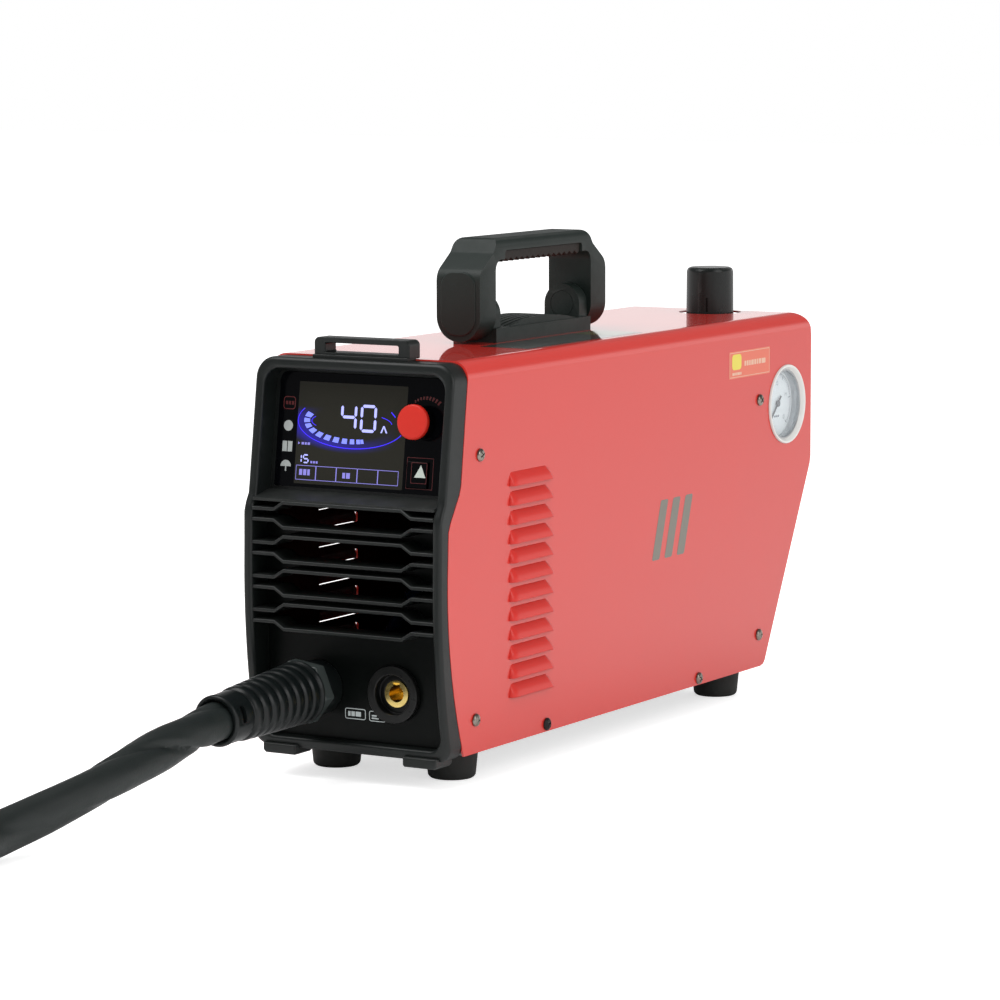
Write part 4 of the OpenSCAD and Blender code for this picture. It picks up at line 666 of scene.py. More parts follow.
plate_holes = [slot_side(z, 1, 0, 55 * MM) + slot_side(z, -1, 0, 55 * MM)[::-1] for z in slot_z]
plate_holes += [circle(port_x, port_z, 12.5 * MM), circle(-port_x, port_z, 12 * MM)]
stamped("connector_plate", [card(-57.2, 21.6, 57.2, 152, 8, 0.5), *plate_holes], 199.5 * MM, -plate_y,
        on_front, plate_black_painted_shade, edge=0.3, steps=2)
for i, z in enumerate(slot_z):
    for sign, word in ((1, "upper"), (-1, "lower")):
        bar = slot_side(z, sign, 0, 57.2 * MM) + slot_side(z, sign, 2 * MM, 57.2 * MM)[::-1]
        stamped(f"grille_rib_{word}_{i + 1}", [bar], 201 * MM, 217.3 * MM, on_front, bezel_black, edge=0.7)

# Ledge under the display, the tilted wall that carries the window, and the two corner pads
disp_tilt, disp_y, disp_z = math.radians(7.6), -196.5 * MM, 188 * MM
on_display = Matrix.Translation((0, disp_y, disp_z)) @ Matrix.Rotation(math.pi / 2 - disp_tilt, 4, "X")


def display_y(z, behind):
    """Depth at a height of the plane that lies behind the display's face."""
    return disp_y + behind / math.cos(disp_tilt) + (z - disp_z) * math.tan(disp_tilt)


ledge_z = grille_top + 5 * MM
ledge = [(-200 * MM, grille_top), (-216.2 * MM, grille_top), (-216.0 * MM, grille_top + 1.5 * MM),
         (display_y(ledge_z, 1.5 * MM), ledge_z), (-196 * MM, ledge_z)]
stamped("display_ledge", [ledge[::-1]], -57 * MM, 57 * MM, on_right, bezel_black, edge=0)
stamped("display_wall", [card(-57.2, -33.5, 57.2, 34.2, 0.5, 8)], -4 * MM, -1.5 * MM, on_display,
        bezel_black, edge=0.3)
for side in (-1, 1):
    pad = [(side * x * MM, z * MM) for x, z in ((33.9, 18), (33.9, 13.5), (34.9, 12.5), (53.4, 12.5),
                                                (54.9, 14), (54.9, 18))][::side]
    stamped(f"corner_pad_{'left' if side < 0 else 'right'}", [pad], 194.5 * MM, 211.5 * MM, on_front,
            bezel_black, edge=1.0)

def framed(name, outer, inner, low, high, edge, place, material):
    """A closed bar between two outlines of equal count, with its four edges rounded."""
    bend = [(edge * (1 - math.cos(a)), edge * (1 - math.sin(a))) for a in np.linspace(0, math.pi / 2, 6)]
    section = [(0, u, high - v) for u, v in bend] + [(1, u, high - v) for u, v in bend[::-1]]
    section += [(1, u, low + v) for u, v in bend] + [(0, u, low + v) for u, v in bend[::-1]]
    bm = bmesh.new()
    rings = []
    for inside, u, depth in section:
        ring = []
        for p, q in zip(outer, inner):
            way = (Vector(q) - Vector(p)).normalized()
            at = Vector(q) - way * u if inside else Vector(p) + way * u
            ring.append(bm.verts.new((at.x, at.y, depth)))
        rings.append(ring)
    bridged(bm, rings + rings[:1], flip=True)
    bmesh.ops.recalc_face_normals(bm, faces=bm.faces)
    bm.transform(place)
    piece(name, bm, material, sharp=60)


# Strap loop on the bezel's top
framed("strap_loop", card(-30, 228.2, 30, 238.2, 0.8, 3), card(-23, 230.2, 23, 235.2, 1), 184.5 * MM,
       196 * MM, 0.9 * MM, on_front, bezel_black)
stamped("strap_loop_foot", [card(-30, 225.4, 30, 229, 0.6)], 188.9 * MM, 197.8 * MM, on_front,
        bezel_black, edge=0.5)

# ---- Display ----
# A smoked acrylic window over a liquid crystal module with its backlight. The readings shine blue.
window_black = finish("window_black", (0.0014, 0.0016, 0.0024), rough=0.12, shine=0.12, mottle=0.1,
                      spread=0.03, grain=0.002, grain_size=3)
knob_x, knob_y, button_x, button_y = 37.2, 7.1, 37, -20.6
button_w, button_h, button_gap = 13, 14, 0.4
button_mouth = card(button_x - button_w / 2 - button_gap, button_y - button_h / 2 - button_gap,
                    button_x + button_w / 2 + button_gap, button_y + button_h / 2 + button_gap, 0.8)
window = [card(-53.5, -31, 53.5, 31, 1, 5), circle(knob_x * MM, knob_y * MM, 4.5 * MM), button_mouth]
stamped("smoked_window", window, -1.5 * MM, 0, on_display, window_black, edge=0.25,
        stands_for=("display_window",))


def printed(name, outlines, height, place, material, body="case", stands_for=()):
    """A film of ink: flat faces at a height above a place, one for each outline."""
    bm = bmesh.new()
    layer = bm.loops.layers.uv.new("place")
    for line in outlines:
        face = bm.faces.new([bm.verts.new((x, y, height)) for x, y in line])
        for corner in face.loops:
            corner[layer].uv = corner.vert.co.xy / MM
    bm.transform(place)
    piece(name, bm, material, body, stands_for=stands_for)


def drawn(*points):
    """An outline from points in mm."""
    return [(x * MM, y * MM) for x, y in points]


def frame_line(x0, y0, x1, y1, r=0.4, width=0.3):
    """A rounded rectangle drawn as a line, in mm, in bands so that its middle stays open."""
    outside = card(x0, y0, x1, y1, r, n=6)
    inside = card(x0 + width, y0 + width, x1 - width, y1 - width, max(r - width, width / 2), n=6)
    n = len(outside)
    return [[outside[i], outside[(i + 1) % n], inside[(i + 1) % n], inside[i]] for i in range(n)]


def oval_band(x, y, a, b, start, end, width, n):
    """A band of even width along part of an ellipse, in mm, from one angle to another."""
    bands = []
    for k in range(n):
        corners = []
        for step, reach in ((k, width / 2), (k + 1, width / 2), (k + 1, -width / 2), (k, -width / 2)):
            t = math.radians(start + (end - start) * step / n)
            corners.append((x + (a + reach) * math.cos(t), y + (b + reach) * math.sin(t)))
        bands.append(drawn(*corners))
    return bands


def digit(value, x, y, w, h, t):
    """The lit bars, t mm thick, of a seven-bar figure whose lower left corner is at (x, y), in mm."""
    middle, top, end = y + h / 2, y + h, x + w
    ends = {"a": ((x, top), (end, top)), "b": ((end, middle), (end, top)), "c": ((end, y), (end, middle)),
            "d": ((x, y), (end, y)), "e": ((x, y), (x, middle)), "f": ((x, middle), (x, top)),
            "g": ((x, middle), (end, middle))}
    shapes = []
    for bar in {0: "abcdef", 1: "bc", 4: "bcfg", 5: "acdfg"}[value]:
        p, q = (np.array(point, float) for point in ends[bar])
        along = (q - p) / np.linalg.norm(q - p) * t
        half = np.array((-along[1], along[0])) / 2
        p, q = p + along * 0.22, q - along * 0.22
        shapes.append(drawn(p, p + along / 2 - half, q - along / 2 - half, q, q - along / 2 + half,
                            p + along / 2 + half))
    return shapes


def bars(x, y, sizes, h, gap=0.6):
    """Plain blocks in a row in place of words, in mm."""
    row = []
    for w in sizes:
        row.append(drawn((x, y), (x + w, y), (x + w, y + h), (x, y + h)))
        x += w + gap
    return row


def lit(name, colour, strength=1.0):
    """The finish of a lit segment: its colour glows at the given strength."""
    return finish(name, [c * 0.5 for c in colour], rough=0.3, mottle=0.04, spread=0.02,
                  glow=(*colour, strength))


# The dark film of the display, with the haze of the backlight round its oval scale, strongest at
# the left
lcd_film = finish("lcd_film", (0.026, 0.0250, 0.0200), rough=0.16, shine=0.12, mottle=0.1, spread=0.02)
tree = lcd_film.node_tree
skin = tree.nodes["Principled BSDF"]
across = add(tree, "SeparateXYZ", {0: add(tree, "TexCoord").outputs["UV"]})
u = add(tree, "MapRange", {"Value": across.outputs[0], "From Min": -6.5, "From Max": 25.0}, clamp=False)
v = add(tree, "MapRange", {"Value": across.outputs[1], "From Min": 5.0, "From Max": 17.0}, clamp=False)
u2 = add(tree, "Math", {0: u.outputs[0], 1: u.outputs[0]}, operation="MULTIPLY")
v2 = add(tree, "Math", {0: v.outputs[0], 1: v.outputs[0], 2: u2.outputs[0]}, operation="MULTIPLY_ADD")
ring = add(tree, "Math", {0: v2.outputs[0]}, operation="SQRT")
ring = add(tree, "Math", {0: ring.outputs[0], 1: 1.08}, operation="SUBTRACT")
ring = add(tree, "Math", {0: ring.outputs[0]}, operation="ABSOLUTE")
ring = add(tree, "MapRange", {"Value": ring.outputs[0], "From Min": 0.0, "From Max": 0.34, "To Min": 1.0,
                              "To Max": 0.0}, interpolation_type="SMOOTHSTEP")
low = add(tree, "MapRange", {"Value": across.outputs[1], "From Min": 13.0, "From Max": 5.0},
          interpolation_type="SMOOTHSTEP")
left = add(tree, "MapRange", {"Value": across.outputs[0], "From Min": 22.0, "From Max": -22.0})
haze = add(tree, "Math", {0: ring.outputs[0], 1: low.outputs[0]}, operation="MULTIPLY")
haze = add(tree, "Math", {0: haze.outputs[0], 1: left.outputs[0]}, operation="MULTIPLY")
tree.links.new(haze.outputs[0], skin.inputs["Emission Strength"])
skin.inputs["Emission Color"].default_value = (0.008, 0.003, 0.30, 1)
printed("crystal_panel", [card(-40.9, -29.2, 27.7, 25.8, 0.6)], 0.02 * MM, on_display, lcd_film,
        stands_for=("display_module",))

oval_x, oval_y = -6.5, 5
lines = oval_band(oval_x, oval_y, 34, 13.9, 152, 338, 0.5, 60)
for start, end in ((155, 208), (2, 42)):
    lines += oval_band(oval_x, oval_y, 25.3, 5.5, start, end, 0.5, 10)
lines += [drawn((17.9, 11.5), (20.6, 8.9), (21.1, 9.3), (18.4, 11.9))]
printed("scale_lines", lines, 0.05 * MM, on_display, lit("blue_light", (0.045, 0.022, 0.90)))
steps = []
for i in range(11):
    middle, spread = 285 - 122 * (1 - i / 10) ** 1.4, 6.5 - 0.46 * i
    steps += oval_band(oval_x, oval_y, 28.3, 10.2, middle - spread, middle + spread, 3.9 - 0.16 * i, 3)
printed("scale_steps", steps, 0.06 * MM, on_display, lit("step_light", (0.20, 0.24, 1.0)))
figures = digit(4, -12.7, 1.5, 8.6, 12.8, 1.6) + digit(0, -0.3, 1.0, 8.6, 13.2, 1.6)
figures += digit(1, -40.2, -17.8, 3.2, 4.1, 0.75) + digit(5, -35.6, -17.8, 3.0, 4.1, 0.75)
figures += [drawn((12, 0.4), (13, 0.4), (14.4, 4.2), (13.6, 4.2)),
            drawn((16.4, 0.4), (15.4, 0.4), (13.6, 4.2), (14.4, 4.2))]
printed("amps_figures", figures, 0.08 * MM, on_display, lit("pale_light", (0.42, 0.44, 1.0)))
box_ends = (-40, -27.2, -14.2, -0.9, 12.1, 25)
boxes = []
for start, end in zip(box_ends, box_ends[1:]):
    boxes += frame_line(start, -27.2, end, -19.3, 0.3)
boxes += bars(-37.8, -24.6, (2.0, 2.0, 1.6), 3.2) + bars(-10.2, -25.0, (1.8, 2.4), 3.0)
boxes += bars(-37.4, -8.2, (1.6, 1.2, 1.6), 1.3, 0.5) + bars(-31.0, -18.0, (1.2, 1.2, 1.2), 1.2, 0.5)
boxes += [drawn((-39.6, -8.2), (-38.3, -7.5), (-39.6, -6.7))]
printed("function_boxes", boxes, 0.08 * MM, on_display, lit("violet_light", (0.22, 0.20, 0.62), 0.9))

# Printed signs beside the panel: plain shapes in pale ink and dark red
pale_ink = finish("pale_ink", (0.42, 0.45, 0.44), rough=0.5, mottle=0.1)
dark_red_ink = finish("dark_red_ink", (0.105, 0.0075, 0.009), rough=0.5, mottle=0.1)
canopy = [(-46.7 + 3.4 * math.cos(a), -20.4 + 3.4 * math.sin(a)) for a in np.linspace(0, math.pi, 15)]
signs = [circle(-46.6 * MM, 1.6 * MM, 2.9 * MM, 28), *bars(-49.6, -12.4, (2.9, 2.9), 5.6, 0.5)]
signs += [drawn(*canopy), *bars(-47.1, -23.0, (0.8,), 2.8)]
printed("pale_signs", signs, 0.05 * MM, on_display, pale_ink)


def tick(x, y, angle, inner, outer, half):
    """One mark of a round scale: from inner to outer mm, half radians to either side of its angle."""
    return drawn(*((x + r * math.cos(angle + off), y + r * math.sin(angle + off))
                   for r, off in ((inner, -half), (outer, -half), (outer, half), (inner, half))))


signs = frame_line(-50.6, 10.3, -42.8, 17.4, 1.8, 0.55) + bars(-49, 12.9, (1.3, 1.3, 1.3), 1.9)
signs += [tick(knob_x, knob_y, math.radians(112 - 8.2 * i), 11.4 + 0.28 * i, 12.6 + 0.45 * i, 0.04)
          for i in range(9)]
signs += frame_line(29.9, -28.2, 46.4, -11.4)
printed("red_signs", signs, 0.05 * MM, on_display, dark_red_ink)

# ---- Knob and button ----
# A black moulded knob on the encoder's shaft with a red, softly domed cap, and a black key with a
# printed arrow that travels a millimetre.


def sweep(bm, profile, place, sides):
    """Adds the surface that a profile of points (radius, height), in mm, sweeps round a place's Z."""
    rings = []
    for r, z in profile:
        around = [2 * math.pi * k / sides for k in range(sides if r else 1)]
        rings.append([bm.verts.new(place @ (Vector((r * math.cos(a), r * math.sin(a), z)) * MM))
                      for a in around])
    bridged(bm, rings)
    bmesh.ops.recalc_face_normals(bm, faces=bm.faces)


def turned(name, profile, place, material, body="case", sides=72, sharp=34, stands_for=()):
    """A turned piece: a profile of points (radius, height), in mm, swept round its place's Z."""
    bm = bmesh.new()
    sweep(bm, profile, place, sides)
    return piece(name, bm, material, body, sharp, stands_for)


knob_red = finish("knob_red", (0.62, 0.020, 0.010), rough=0.42, shine=0.35, grain=0.02, grain_size=0.7,
                  mottle=0.05)
knob_place = on_display @ Matrix.Translation((knob_x * MM, knob_y * MM, 0.6 * MM))
knob_brow = [(9.45 - 1.3 + 1.3 * math.cos(a), 9.6 + (1.3 * math.sin(a) - 1.3)) for a in quarter]
turned("knob_cap", [(8.9, 6.9), (9.45, 6.9), (9.45, 7.8), *knob_brow, (5.5, 9.85), (0, 9.9)], knob_place,
       knob_red, "knob", stands_for=("adjust_knob",))
turned("knob_skirt", [(3.05, 7.1), (3.05, 0), (8.3, 0), (8.8, 0.6), (8.95, 7.1), (3.05, 7.1)], knob_place,
       window_black, "knob")
key_place = on_display @ Matrix.Translation((button_x * MM, button_y * MM, 0))
key = card(-button_w / 2, -button_h / 2, button_w / 2, button_h / 2, 0.6, n=4)
stamped("arrow_key", [key], -4.2 * MM, 1.2 * MM, key_place, window_black, "button", edge=0.5,
        stands_for=("push_button",))
white_ink = finish("white_ink", (0.62, 0.68, 0.62), rough=0.5)
printed("arrow_sign", [drawn((2.4, 5.3), (-1.5, -1.4), (5.6, -1.4))], 1.23 * MM, key_place, white_ink,
        "button")
printed("arrow_frame", frame_line(-3.6, -4.6, 6.2, 6.6), 1.22 * MM, key_place, dark_red_ink, "button")

# ---- Carrying handle ----
# Glass-filled nylon: a ribbed base screwed to the top with an ear at each end, and a thick bail that
# turns on two bolts in the ears. A softer ribbed insert lies under the fingers.
handle_black = finish("handle_black", (0.0105, 0.0180, 0.0152), rough=0.50, shine=0.38, grain=0.05,
                      grain_size=1.1, mottle=0.16, spread=0.12, edge_wear_and_highlight=0.12)
insert_brown = finish("insert_brown", (0.022, 0.017, 0.014), rough=0.6, shine=0.3, grain=0.14,
                      grain_size=1.6, mottle=0.35)
zinc = finish("zinc_plated", (0.46, 0.46, 0.44), rough=0.33, metal=1.0, mottle=0.2, spread=0.25)
from_cad("handle_base", handle_black, 0.7)
bail = from_cad("handle_bail", handle_black, 1.3, steps=4)
handle_y, leg_face, ear_face, pivot_z = -24.75, 71.2, 44.5, 243.2
leg_pad = card(-11.2, 232.5, 11.2, 268, 10, 8.5, 10)
for side, word in ((-1, "front"), (1, "rear")):
    leg = Matrix.Translation((0, (handle_y + side * leg_face) * MM, 0))
    facing = Matrix.Rotation(math.pi if side > 0 else 0, 4, "Z") @ on_front
    stamped(f"bail_pad_{word}", [leg_pad], -1.5 * MM, 0.8 * MM, leg @ facing, handle_black, "handle",
            edge=0.75, steps=4)
grip_front, grip_rear, grip_top = handle_y - 43.5, handle_y + 43.5, 279.2
cut(bail, [punch(card(grip_front, 270, grip_rear, 279, 0.3, 2), -20 * MM, 20 * MM, on_right)])
teeth = [(grip_front + 3 * k, 272.5 + 1.7 * (k % 2)) for k in range(30)]
insert = drawn(*teeth, (grip_rear, grip_top), (grip_front, grip_top))
stamped("finger_insert", [insert], -12.6 * MM, 12.6 * MM, on_right, insert_brown, "handle", edge=0.8,
        stands_for=("handle_grip",))
pivot_bolt = [(0, 0), (7.2, 0), (7.45, 0.25), (7.45, 3.8), (2.9, 3.8), (2.9, 18), (0, 18)]
for side, word in ((-1, "front"), (1, "rear")):
    ear = Matrix.Translation((0, (handle_y + side * ear_face) * MM, pivot_z * MM))
    turned(f"{word}_pivot", pivot_bolt, ear @ Matrix.Rotation(-side * math.pi / 2, 4, "X"), handle_black,
           stands_for=("handle_pivots",))
from_cad("handle_screws", zinc, 0.3)

# ---- Screws and feet ----
# Cross-recessed M4 pan-head screws, burnished dark, and one pair blackened, hold the cover to the rails.
# Four moulded rubber feet with steel washers set in them are screwed to the tray.
screw_steel = finish("screw_steel", (0.32, 0.295, 0.255), rough=0.28, metal=1.0, mottle=0.35,
                     spread=0.3, edge_wear_and_highlight=0.5)
black_steel = finish("black_steel", (0.02, 0.02, 0.02), rough=0.40, metal=0.7, mottle=0.3, spread=0.3,
                     edge_wear_and_highlight=0.6)
screw_dome = [(3.5 * math.cos(a), 0.5 + 1.7 * math.sin(a)) for a in np.linspace(0.2, 1.35, 7)]
screw = [(0, -7), (1.95, -7), (1.95, 0.1), (3.5, 0.1), (3.5, 0.5), *screw_dome, (0, 2.2)]
cross_slot = drawn((-2.1, -0.42), (2.1, -0.42), (2.1, 0.42), (-2.1, 0.42))


def screws(name, places, material, node):
    """One kind of cover screw on both sides, each turned another way, with its cross recess."""
    bm = bmesh.new()
    tools = []
    for i, (y, z) in enumerate(places):
        for side in (-1, 1):
            place = (Matrix.Translation((side * half_w, y * MM, z * MM))
                     @ Matrix.Rotation(side * math.pi / 2, 4, "Y") @ Matrix.Rotation(0.5 + 0.9 * i, 4, "Z"))
            sweep(bm, screw, place, 40)
            for spin in (0, math.pi / 2):
                tools.append(punch(cross_slot, 1.0 * MM, 3 * MM, place @ Matrix.Rotation(spin, 4, "Z")))
    cut(piece(name, bm, material, stands_for=(node,)), tools)


screws("cover_screw_heads", [(-177.8, 177.6), (-183.3, 36), (149, 179.4), (149, 37.5), (71.8, 22)],
       screw_steel, "cover_screws")
screws("black_screw_heads", [(-107.3, 22.2)], black_steel, "black_screws")
foot_rubber = finish("foot_rubber", (0.016, 0.0165, 0.015), rough=0.62, shine=0.4, grain=0.08, grain_size=1.4,
                     mottle=0.25, spread=0.2)
from_cad("rubber_feet", foot_rubber, 0.7, steps=3)
from_cad("foot_screws", zinc, 0.2)

# ---- Earth-lead socket, gland and boot ----
# A panel socket with a brass insert for a bayonet plug, and beside it the torch lead's gland, its
# hexagon nut, and the ribbed rubber boot that keeps the lead from kinking.
# The socket's strongly lightened edges are a painted highlight: the pale line round its rim.
socket_black = finish("socket_black", (0.0032, 0.0036, 0.0036), rough=0.30, shine=0.25, grain=0.02,
                      mottle=0.2, spread=0.1, edge_wear_and_highlight=0.5)
brass = finish("turned_brass", (0.90, 0.68, 0.24), rough=0.17, metal=1.0, mottle=0.15, spread=0.2)
gland_grey = finish("gland_grey", (0.006, 0.008, 0.008), rough=0.40, shine=0.4, mottle=0.2, spread=0.2)
nut_grey = finish("nut_grey", (0.040, 0.050, 0.048), rough=0.35, shine=0.6, mottle=0.2, spread=0.2, edge_wear_and_highlight=0.2)
boot_rubber = finish("boot_rubber", (0.0050, 0.0072, 0.0072), rough=0.34, shine=0.36, grain=0.03,
                     grain_size=0.8, mottle=0.3, spread=0.2)
from_cad("socket_body", socket_black, 0.7, steps=3)
from_cad("socket_insert", brass, 0.5, steps=3)
from_cad("socket_nut", zinc, 0.3)
from_cad("gland_body", gland_grey, 0.6)
from_cad("gland_nut", nut_grey, 0.8, steps=3)
boot_l, boot_collar, boot_ribs, root_r, end_r = 80, 18, 8, 17.2, 13.7
rib_low, collar_low = 4, boot_l - boot_collar
rib_pitch = (collar_low - rib_low) / boot_ribs
boot_line = [(10.2, 0.6), (root_r - 0.6, 0.6), (root_r, 1.2), (root_r, 3.0), (root_r - 1.5, 3.7)]
for i in range(boot_ribs):
    for t in np.linspace(0.06, 0.94, 9):
        s = rib_low + (i + t) * rib_pitch
        swell = (1 - abs(2 * t - 1) ** 3.2) ** 0.6
        boot_line.append((root_r + (end_r - root_r) * s / boot_l - 2.0 + 2.0 * swell, s))
boot_line += [(end_r - 1.1, collar_low + 0.2), (end_r - 0.2, collar_low + 1.0), (end_r, collar_low + 2.4),
              (end_r - 0.25, boot_l - 3.2), (end_r + 0.1, boot_l - 2.6), (end_r + 0.1, boot_l - 1.2),
              (end_r - 0.5, boot_l - 0.2), (end_r - 1.2, boot_l), (11.2, boot_l - 0.4), (11.1, 10),
              (10.2, 8), (10.2, 0.6)]
on_boot = Matrix.Translation(boot_root) @ Matrix.Rotation(math.pi / 2 + droop, 4, "X")
boot = turned("ribbed_boot", boot_line, on_boot, boot_rubber, sides=96, sharp=50,
              stands_for=("lead_boot",))
drain_place = (on_boot @ Matrix.Translation((0, 0, (boot_l - 8) * MM))
               @ Matrix.Rotation(math.radians(15), 4, "Z") @ Matrix.Rotation(math.pi / 2, 4, "Y"))
drain = [(y, x) for x, y in card(-4.8, -1.9, 4.8, 1.9, 1.8, n=6)]
cut(boot, [punch(drain, 8 * MM, 20 * MM, drain_place)], 50)

# Two framed signs under the ports, in white ink on the plate
plate_place = Matrix.Translation((0, plate_y, 0)) @ on_front
signs = frame_line(-7.9, 33.7, 5.2, 39.6, 1.2, 0.45) + bars(-6.0, 35.3, (1.6, 2.2, 3.4), 2.6, 0.5)
signs += frame_line(7.4, 33.5, 17.6, 39.2, 1.2, 0.45) + bars(9.0, 36.2, (3.2,), 0.8)
signs += bars(9.0, 34.8, (4.4,), 0.8)
printed("port_signs", signs, 0.05 * MM, plate_place, finish("port_ink", (0.55, 0.60, 0.60), rough=0.5))

# ---- Rear ----
# A grey painted steel panel with the fan behind its wire guard, the power switch and the gland of the
# mains cord.
panel_grey = finish("panel_grey", (0.30, 0.31, 0.31), rough=0.42, shine=0.45, grain=0.02, grain_size=1.4,
                    mottle=0.05)
fan_black = finish("fan_black", (0.014, 0.014, 0.014), rough=0.45, grain=0.03)
rocker_red = finish("rocker_red", (0.42, 0.016, 0.012), rough=0.30, shine=0.5, mottle=0.08)
from_cad("rear_panel", panel_grey, 0.25, steps=1)
from_cad("base_tray", panel_grey, 0.25, steps=1)
from_cad("fan_frame", fan_black, 0.4)
from_cad("fan_rotor", fan_black, 0.25)
from_cad("fan_guard", zinc, 0)
from_cad("switch_body", socket_black, 0.4)
from_cad("switch_rocker", rocker_red, 0.5)
from_cad("mains_gland", gland_grey, 0.5)
# The rocker's face is two shallow flats that meet in the middle, each with its moulded mark
rocker_h, rocker_dip = 23.6, 1.6
switch_place = Matrix.Translation((-38 * MM, 156 * MM, 175 * MM)) @ Matrix.Rotation(math.radians(-10), 4, "X")
mark_white = finish("mark_white", (0.70, 0.70, 0.66), rough=0.5)
for word, way, mark in (("on", 1, bars(-0.45, -2.2, (0.9,), 4.4)),
                        ("off", -1, oval_band(0, 0, 2.0, 2.3, 0, 360, 0.7, 28))):
    middle = Matrix.Translation((0, 2.8 * MM, way * rocker_h / 4 * MM))
    slope = Matrix.Rotation(-way * math.atan2(rocker_dip, rocker_h / 2), 4, "X")
    face = switch_place @ middle @ slope @ Matrix.Rotation(math.pi, 4, "Z") @ on_front
    printed(f"rocker_mark_{word}", mark, 0.06 * MM, face, mark_white, "rocker")

# ---- Filter regulator ----
# A zinc die-cast filter regulator on a steel bracket: its knob comes up through the top, and moisture
# gathers in the clear bowl below. Air enters by a brass quick-coupler plug under the hood.
cast_grey = finish("cast_grey", (0.20, 0.21, 0.21), rough=0.5, metal=0.6, grain=0.08, grain_size=1.6,
                   mottle=0.2)
cap_black = finish("cap_black", (0.0085, 0.0110, 0.0105), rough=0.28, shine=0.42, grain=0.015,
                   grain_size=0.8, mottle=0.15, spread=0.1, edge_wear_and_highlight=0.12)
clear = finish("clear_bowl", (0.93, 0.95, 0.95), rough=0.06, shine=0.5, mottle=0.02, spread=0.02)
clear_skin = clear.node_tree.nodes["Principled BSDF"]
clear_skin.inputs["Transmission Weight"].default_value = 1.0
clear_skin.inputs["IOR"].default_value = 1.49
from_cad("regulator_bracket", zinc, 0.3)
from_cad("regulator_body", cast_grey, 0.8)
from_cad("regulator_nut", gland_grey, 0.4)
from_cad("regulator_spindle", zinc, 0)
from_cad("regulator_knob", cap_black, 0.5, sharp=40)
# The knob's slit is a thin dark strip laid on the cap: painted shade where the slit is.
slit = drawn((-0.5, 229), (0.5, 229), (0.5, 237.5), (-0.5, 237.5))
slit_place = Matrix.Translation((reg_x, reg_y, 0)) @ Matrix.Rotation(math.radians(20.0), 4, "Z") @ on_front
stamped("knob_slit", [slit], 14.0 * MM, 14.58 * MM, slit_place, plate_black_painted_shade, body_of["regulator_knob"],
        edge=0)
from_cad("filter_bowl", clear, 0.3)
fitting_brass = finish("fitting_brass", (0.74, 0.52, 0.24), rough=0.30, metal=1.0, mottle=0.2, spread=0.2)
from_cad("air_inlet", fitting_brass, 0.3)
from_cad("air_pipe", finish("copper_pipe", (0.60, 0.28, 0.15), rough=0.3, metal=1.0, mottle=0.2), 0)
from_cad("solenoid_valve", zinc, 0.4)
from_cad("air_hose", finish("hose_blue", (0.006, 0.014, 0.045), rough=0.35, mottle=0.1), 0, sharp=60)
from_cad("torch_manifold", fitting_brass, 0.4)

# ---- Pressure gauge ----
# A small gauge screwed to the regulator: pressed case, white dial with printed scale, black pointer on
# a brass hub and a clear lens, held in the side by a white snap ring.
gauge_place = (Matrix.Translation((0, reg_y, reg_z)) @ Matrix.Rotation(math.pi / 2, 4, "Z")
               @ Matrix.Rotation(math.pi / 2, 4, "X"))
ring_white = finish("ring_white", (0.80, 0.80, 0.77), rough=0.22, shine=0.5, mottle=0.03)
dial_white = finish("dial_white", (0.80, 0.86, 0.87), rough=0.55, mottle=0.05)
dial_ink = finish("dial_ink", (0.12, 0.15, 0.19), rough=0.5)
lens = finish("clear_lens", (0.90, 0.95, 1.0), rough=0.03, shine=0.5, mottle=0.02, spread=0.01)
lens.node_tree.nodes["Principled BSDF"].inputs["Alpha"].default_value = 0.14
turned("gauge_bezel", [(20.2, 58.6), (23.6, 58.6), (23.6, 62.6), (24.0, 62.6), (24.0, 63.1), (23.7, 63.7),
                       (23.2, 63.9), (22.7, 63.8), (22.3, 63.4), (20.4, 60.4), (20.2, 59.9), (20.2, 58.6)],
       gauge_place, ring_white, stands_for=("gauge_ring",))
from_cad("gauge_case", finish("case_silver", (0.50, 0.51, 0.52), rough=0.30, metal=1.0, mottle=0.1), 0.3)
from_cad("gauge_dial", dial_white, 0)
from_cad("gauge_needle", finish("needle_black", (0.015, 0.015, 0.015), rough=0.4), 0.1)
from_cad("gauge_lens", lens, 0.3)
scale_r, scale_start, scale_sweep, scale_n = 18.2, 225, 270, 50
marks = []
for i in range(scale_n + 1):
    inner = 15.4 if i % 10 == 0 else 16.2 if i % 5 == 0 else 17.0
    angle = math.radians(scale_start - scale_sweep * i / scale_n)
    marks.append(tick(0, 0, angle, inner, scale_r, 0.018 if i % 10 == 0 else 0.009))
for i, value in enumerate(((0,), (4,), (1, 0), (1, 4), (1, 0))):
    angle = math.radians(scale_start - scale_sweep * i / 4)
    x, y = 12.4 * math.cos(angle) - len(value), 12.4 * math.sin(angle) - 1.2
    for k, figure in enumerate(value):
        marks += digit(figure, x + 2.1 * k, y, 1.3, 2.3, 0.4)
marks += oval_band(0, 0, scale_r + 0.1, scale_r + 0.1, scale_start - scale_sweep, scale_start, 0.25, 60)
marks += bars(-3.5, -8.4, (2.0, 1.4, 2.0), 1.2, 0.5)
printed("gauge_scale", marks, 56.05 * MM, gauge_place, dial_ink)

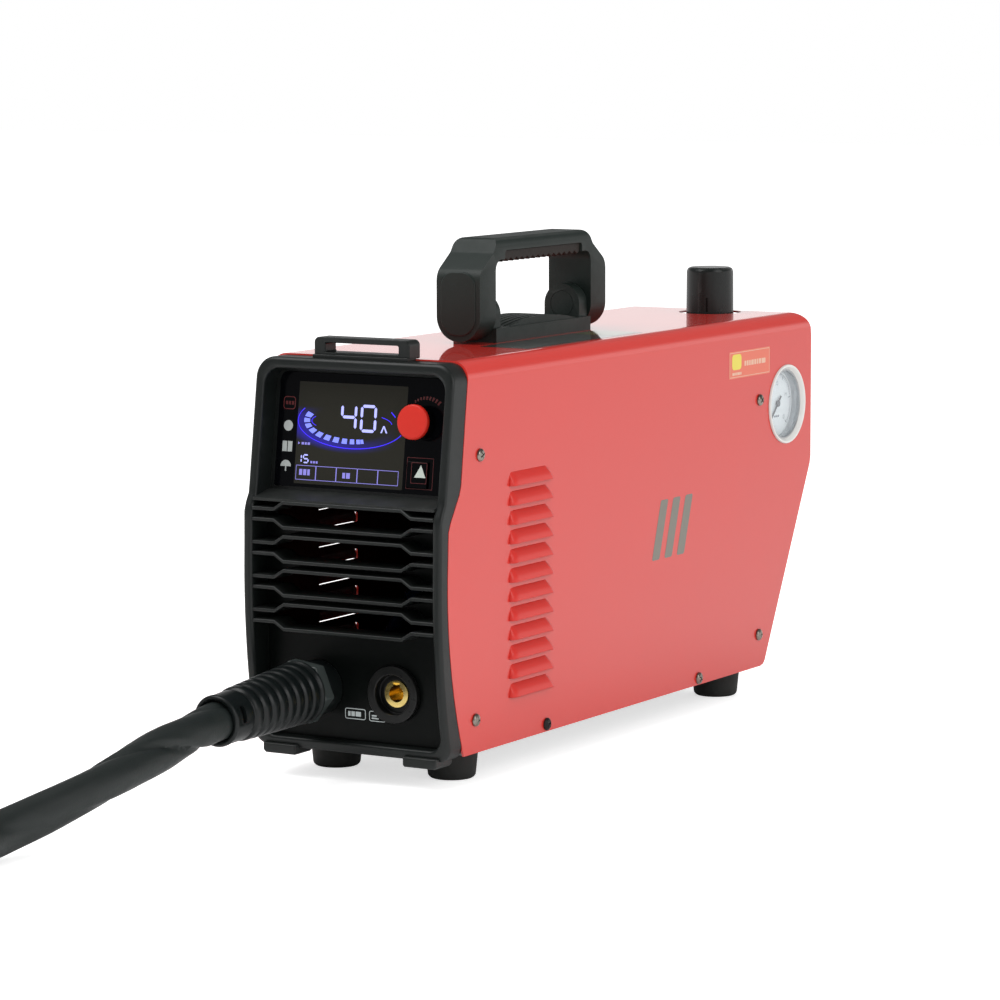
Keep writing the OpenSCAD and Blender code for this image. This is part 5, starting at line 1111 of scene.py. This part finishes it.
# ---- Power parts ----
# What the bezel's slots and the louvres give a glimpse of: the main board on its posts with ribbed
# heat sinks, capacitors, transformer and choke, and behind the display its control board.
board_green = finish("board_green", (0.015, 0.07, 0.03), rough=0.38, shine=0.5, grain=0.03, mottle=0.3)
sink_metal = finish("sink_metal", (0.52, 0.53, 0.54), rough=0.38, metal=1.0, mottle=0.1, spread=0.2)
ferrite = finish("ferrite_grey", (0.035, 0.036, 0.040), rough=0.55, grain=0.05)
sleeve_black = finish("sleeve_black", (0.012, 0.012, 0.018), rough=0.32, mottle=0.1)
from_cad("control_board", board_green, 0.2, steps=1)
from_cad("rotary_encoder", zinc, 0.3)
from_cad("main_board", board_green, 0.2, steps=1)
from_cad("heat_sinks", sink_metal, 0.2, steps=1)
from_cad("capacitors", sleeve_black, 0.8)
from_cad("transformer", ferrite, 0.6)
from_cad("output_choke", ferrite, 0.6)

# ---- Labels ----
# Printed films on the cover: an orange notice above the gauge, a plain grey strip beside the handle
# and, in the middle of each side, three slanting stripes.
stripe_grey = finish("stripe_grey", (0.135, 0.120, 0.085), rough=0.30, shine=0.4, coat=1.0,
                     coat_rough=0.05, mottle=0.04)
label_orange = finish("label_orange", (0.78, 0.145, 0.075), rough=0.35, shine=0.4, coat=0.6,
                      coat_rough=0.06, mottle=0.04)
label_yellow = finish("label_yellow", (0.80, 0.68, 0.10), rough=0.4, mottle=0.04)
label_pale = finish("label_pale", (0.80, 0.50, 0.36), rough=0.4, mottle=0.04)
label_grey = finish("label_grey", (0.050, 0.060, 0.055), rough=0.32, shine=0.5, coat=1.0,
                    coat_rough=0.04, mottle=0.15)
label_green = finish("label_green", (0.12, 0.14, 0.02), rough=0.35, coat=1.0, mottle=0.1)
stripe_y, stripe_w, stripe_pitch, stripe_low, stripe_high, stripe_slant = 14, 9, 15, 98, 132, 0.32
on_left = Matrix(((0, 0, -1, 0), (-1, 0, 0, 0), (0, 1, 0, 0), (0, 0, 0, 1)))
for place, word, way in ((on_right, "right", 1), (on_left, "left", -1)):
    stripes = []
    for i in range(3):
        start = stripe_y + stripe_pitch * i
        line = card(start, stripe_low, start + stripe_w, stripe_high, 1.5, n=5)
        stripes.append([(way * (y + (z - stripe_low * MM) * stripe_slant), z) for y, z in line][::way])
    printed(f"side_stripes_{word}", stripes, half_w + 0.06 * MM, place, stripe_grey)
border = frame_line(110, 195.3, 161.7, 210.1, 0.6, 0.35)
border += bars(129, 201.4, (2, 2.4, 2, 3.2, 2.4, 2, 2.8, 5), 3.0, 0.8)
for name, outlines, above, ink in (
        ("label", [card(109.3, 194.6, 162.4, 210.8, 0.8, n=4)], 0.05, label_orange),
        ("border", border, 0.08, label_pale),
        ("patch", [card(113, 199.8, 125, 209, 2.5, n=5)], 0.08, label_yellow),
        ("words", bars(113.4, 196.6, (3, 2.2, 3.4, 1.6), 1.6, 0.5), 0.08, label_pale)):
    printed(f"notice_{name}", outlines, half_w + above * MM, on_right, ink)
printed("top_strip", [card(18, -104, 49.5, 28, 2, n=5)], top_z + 0.05 * MM, Matrix(), label_grey)
printed("top_patch", [card(20, -2, 47, 25, 2, n=5)], top_z + 0.08 * MM, Matrix(), label_green)
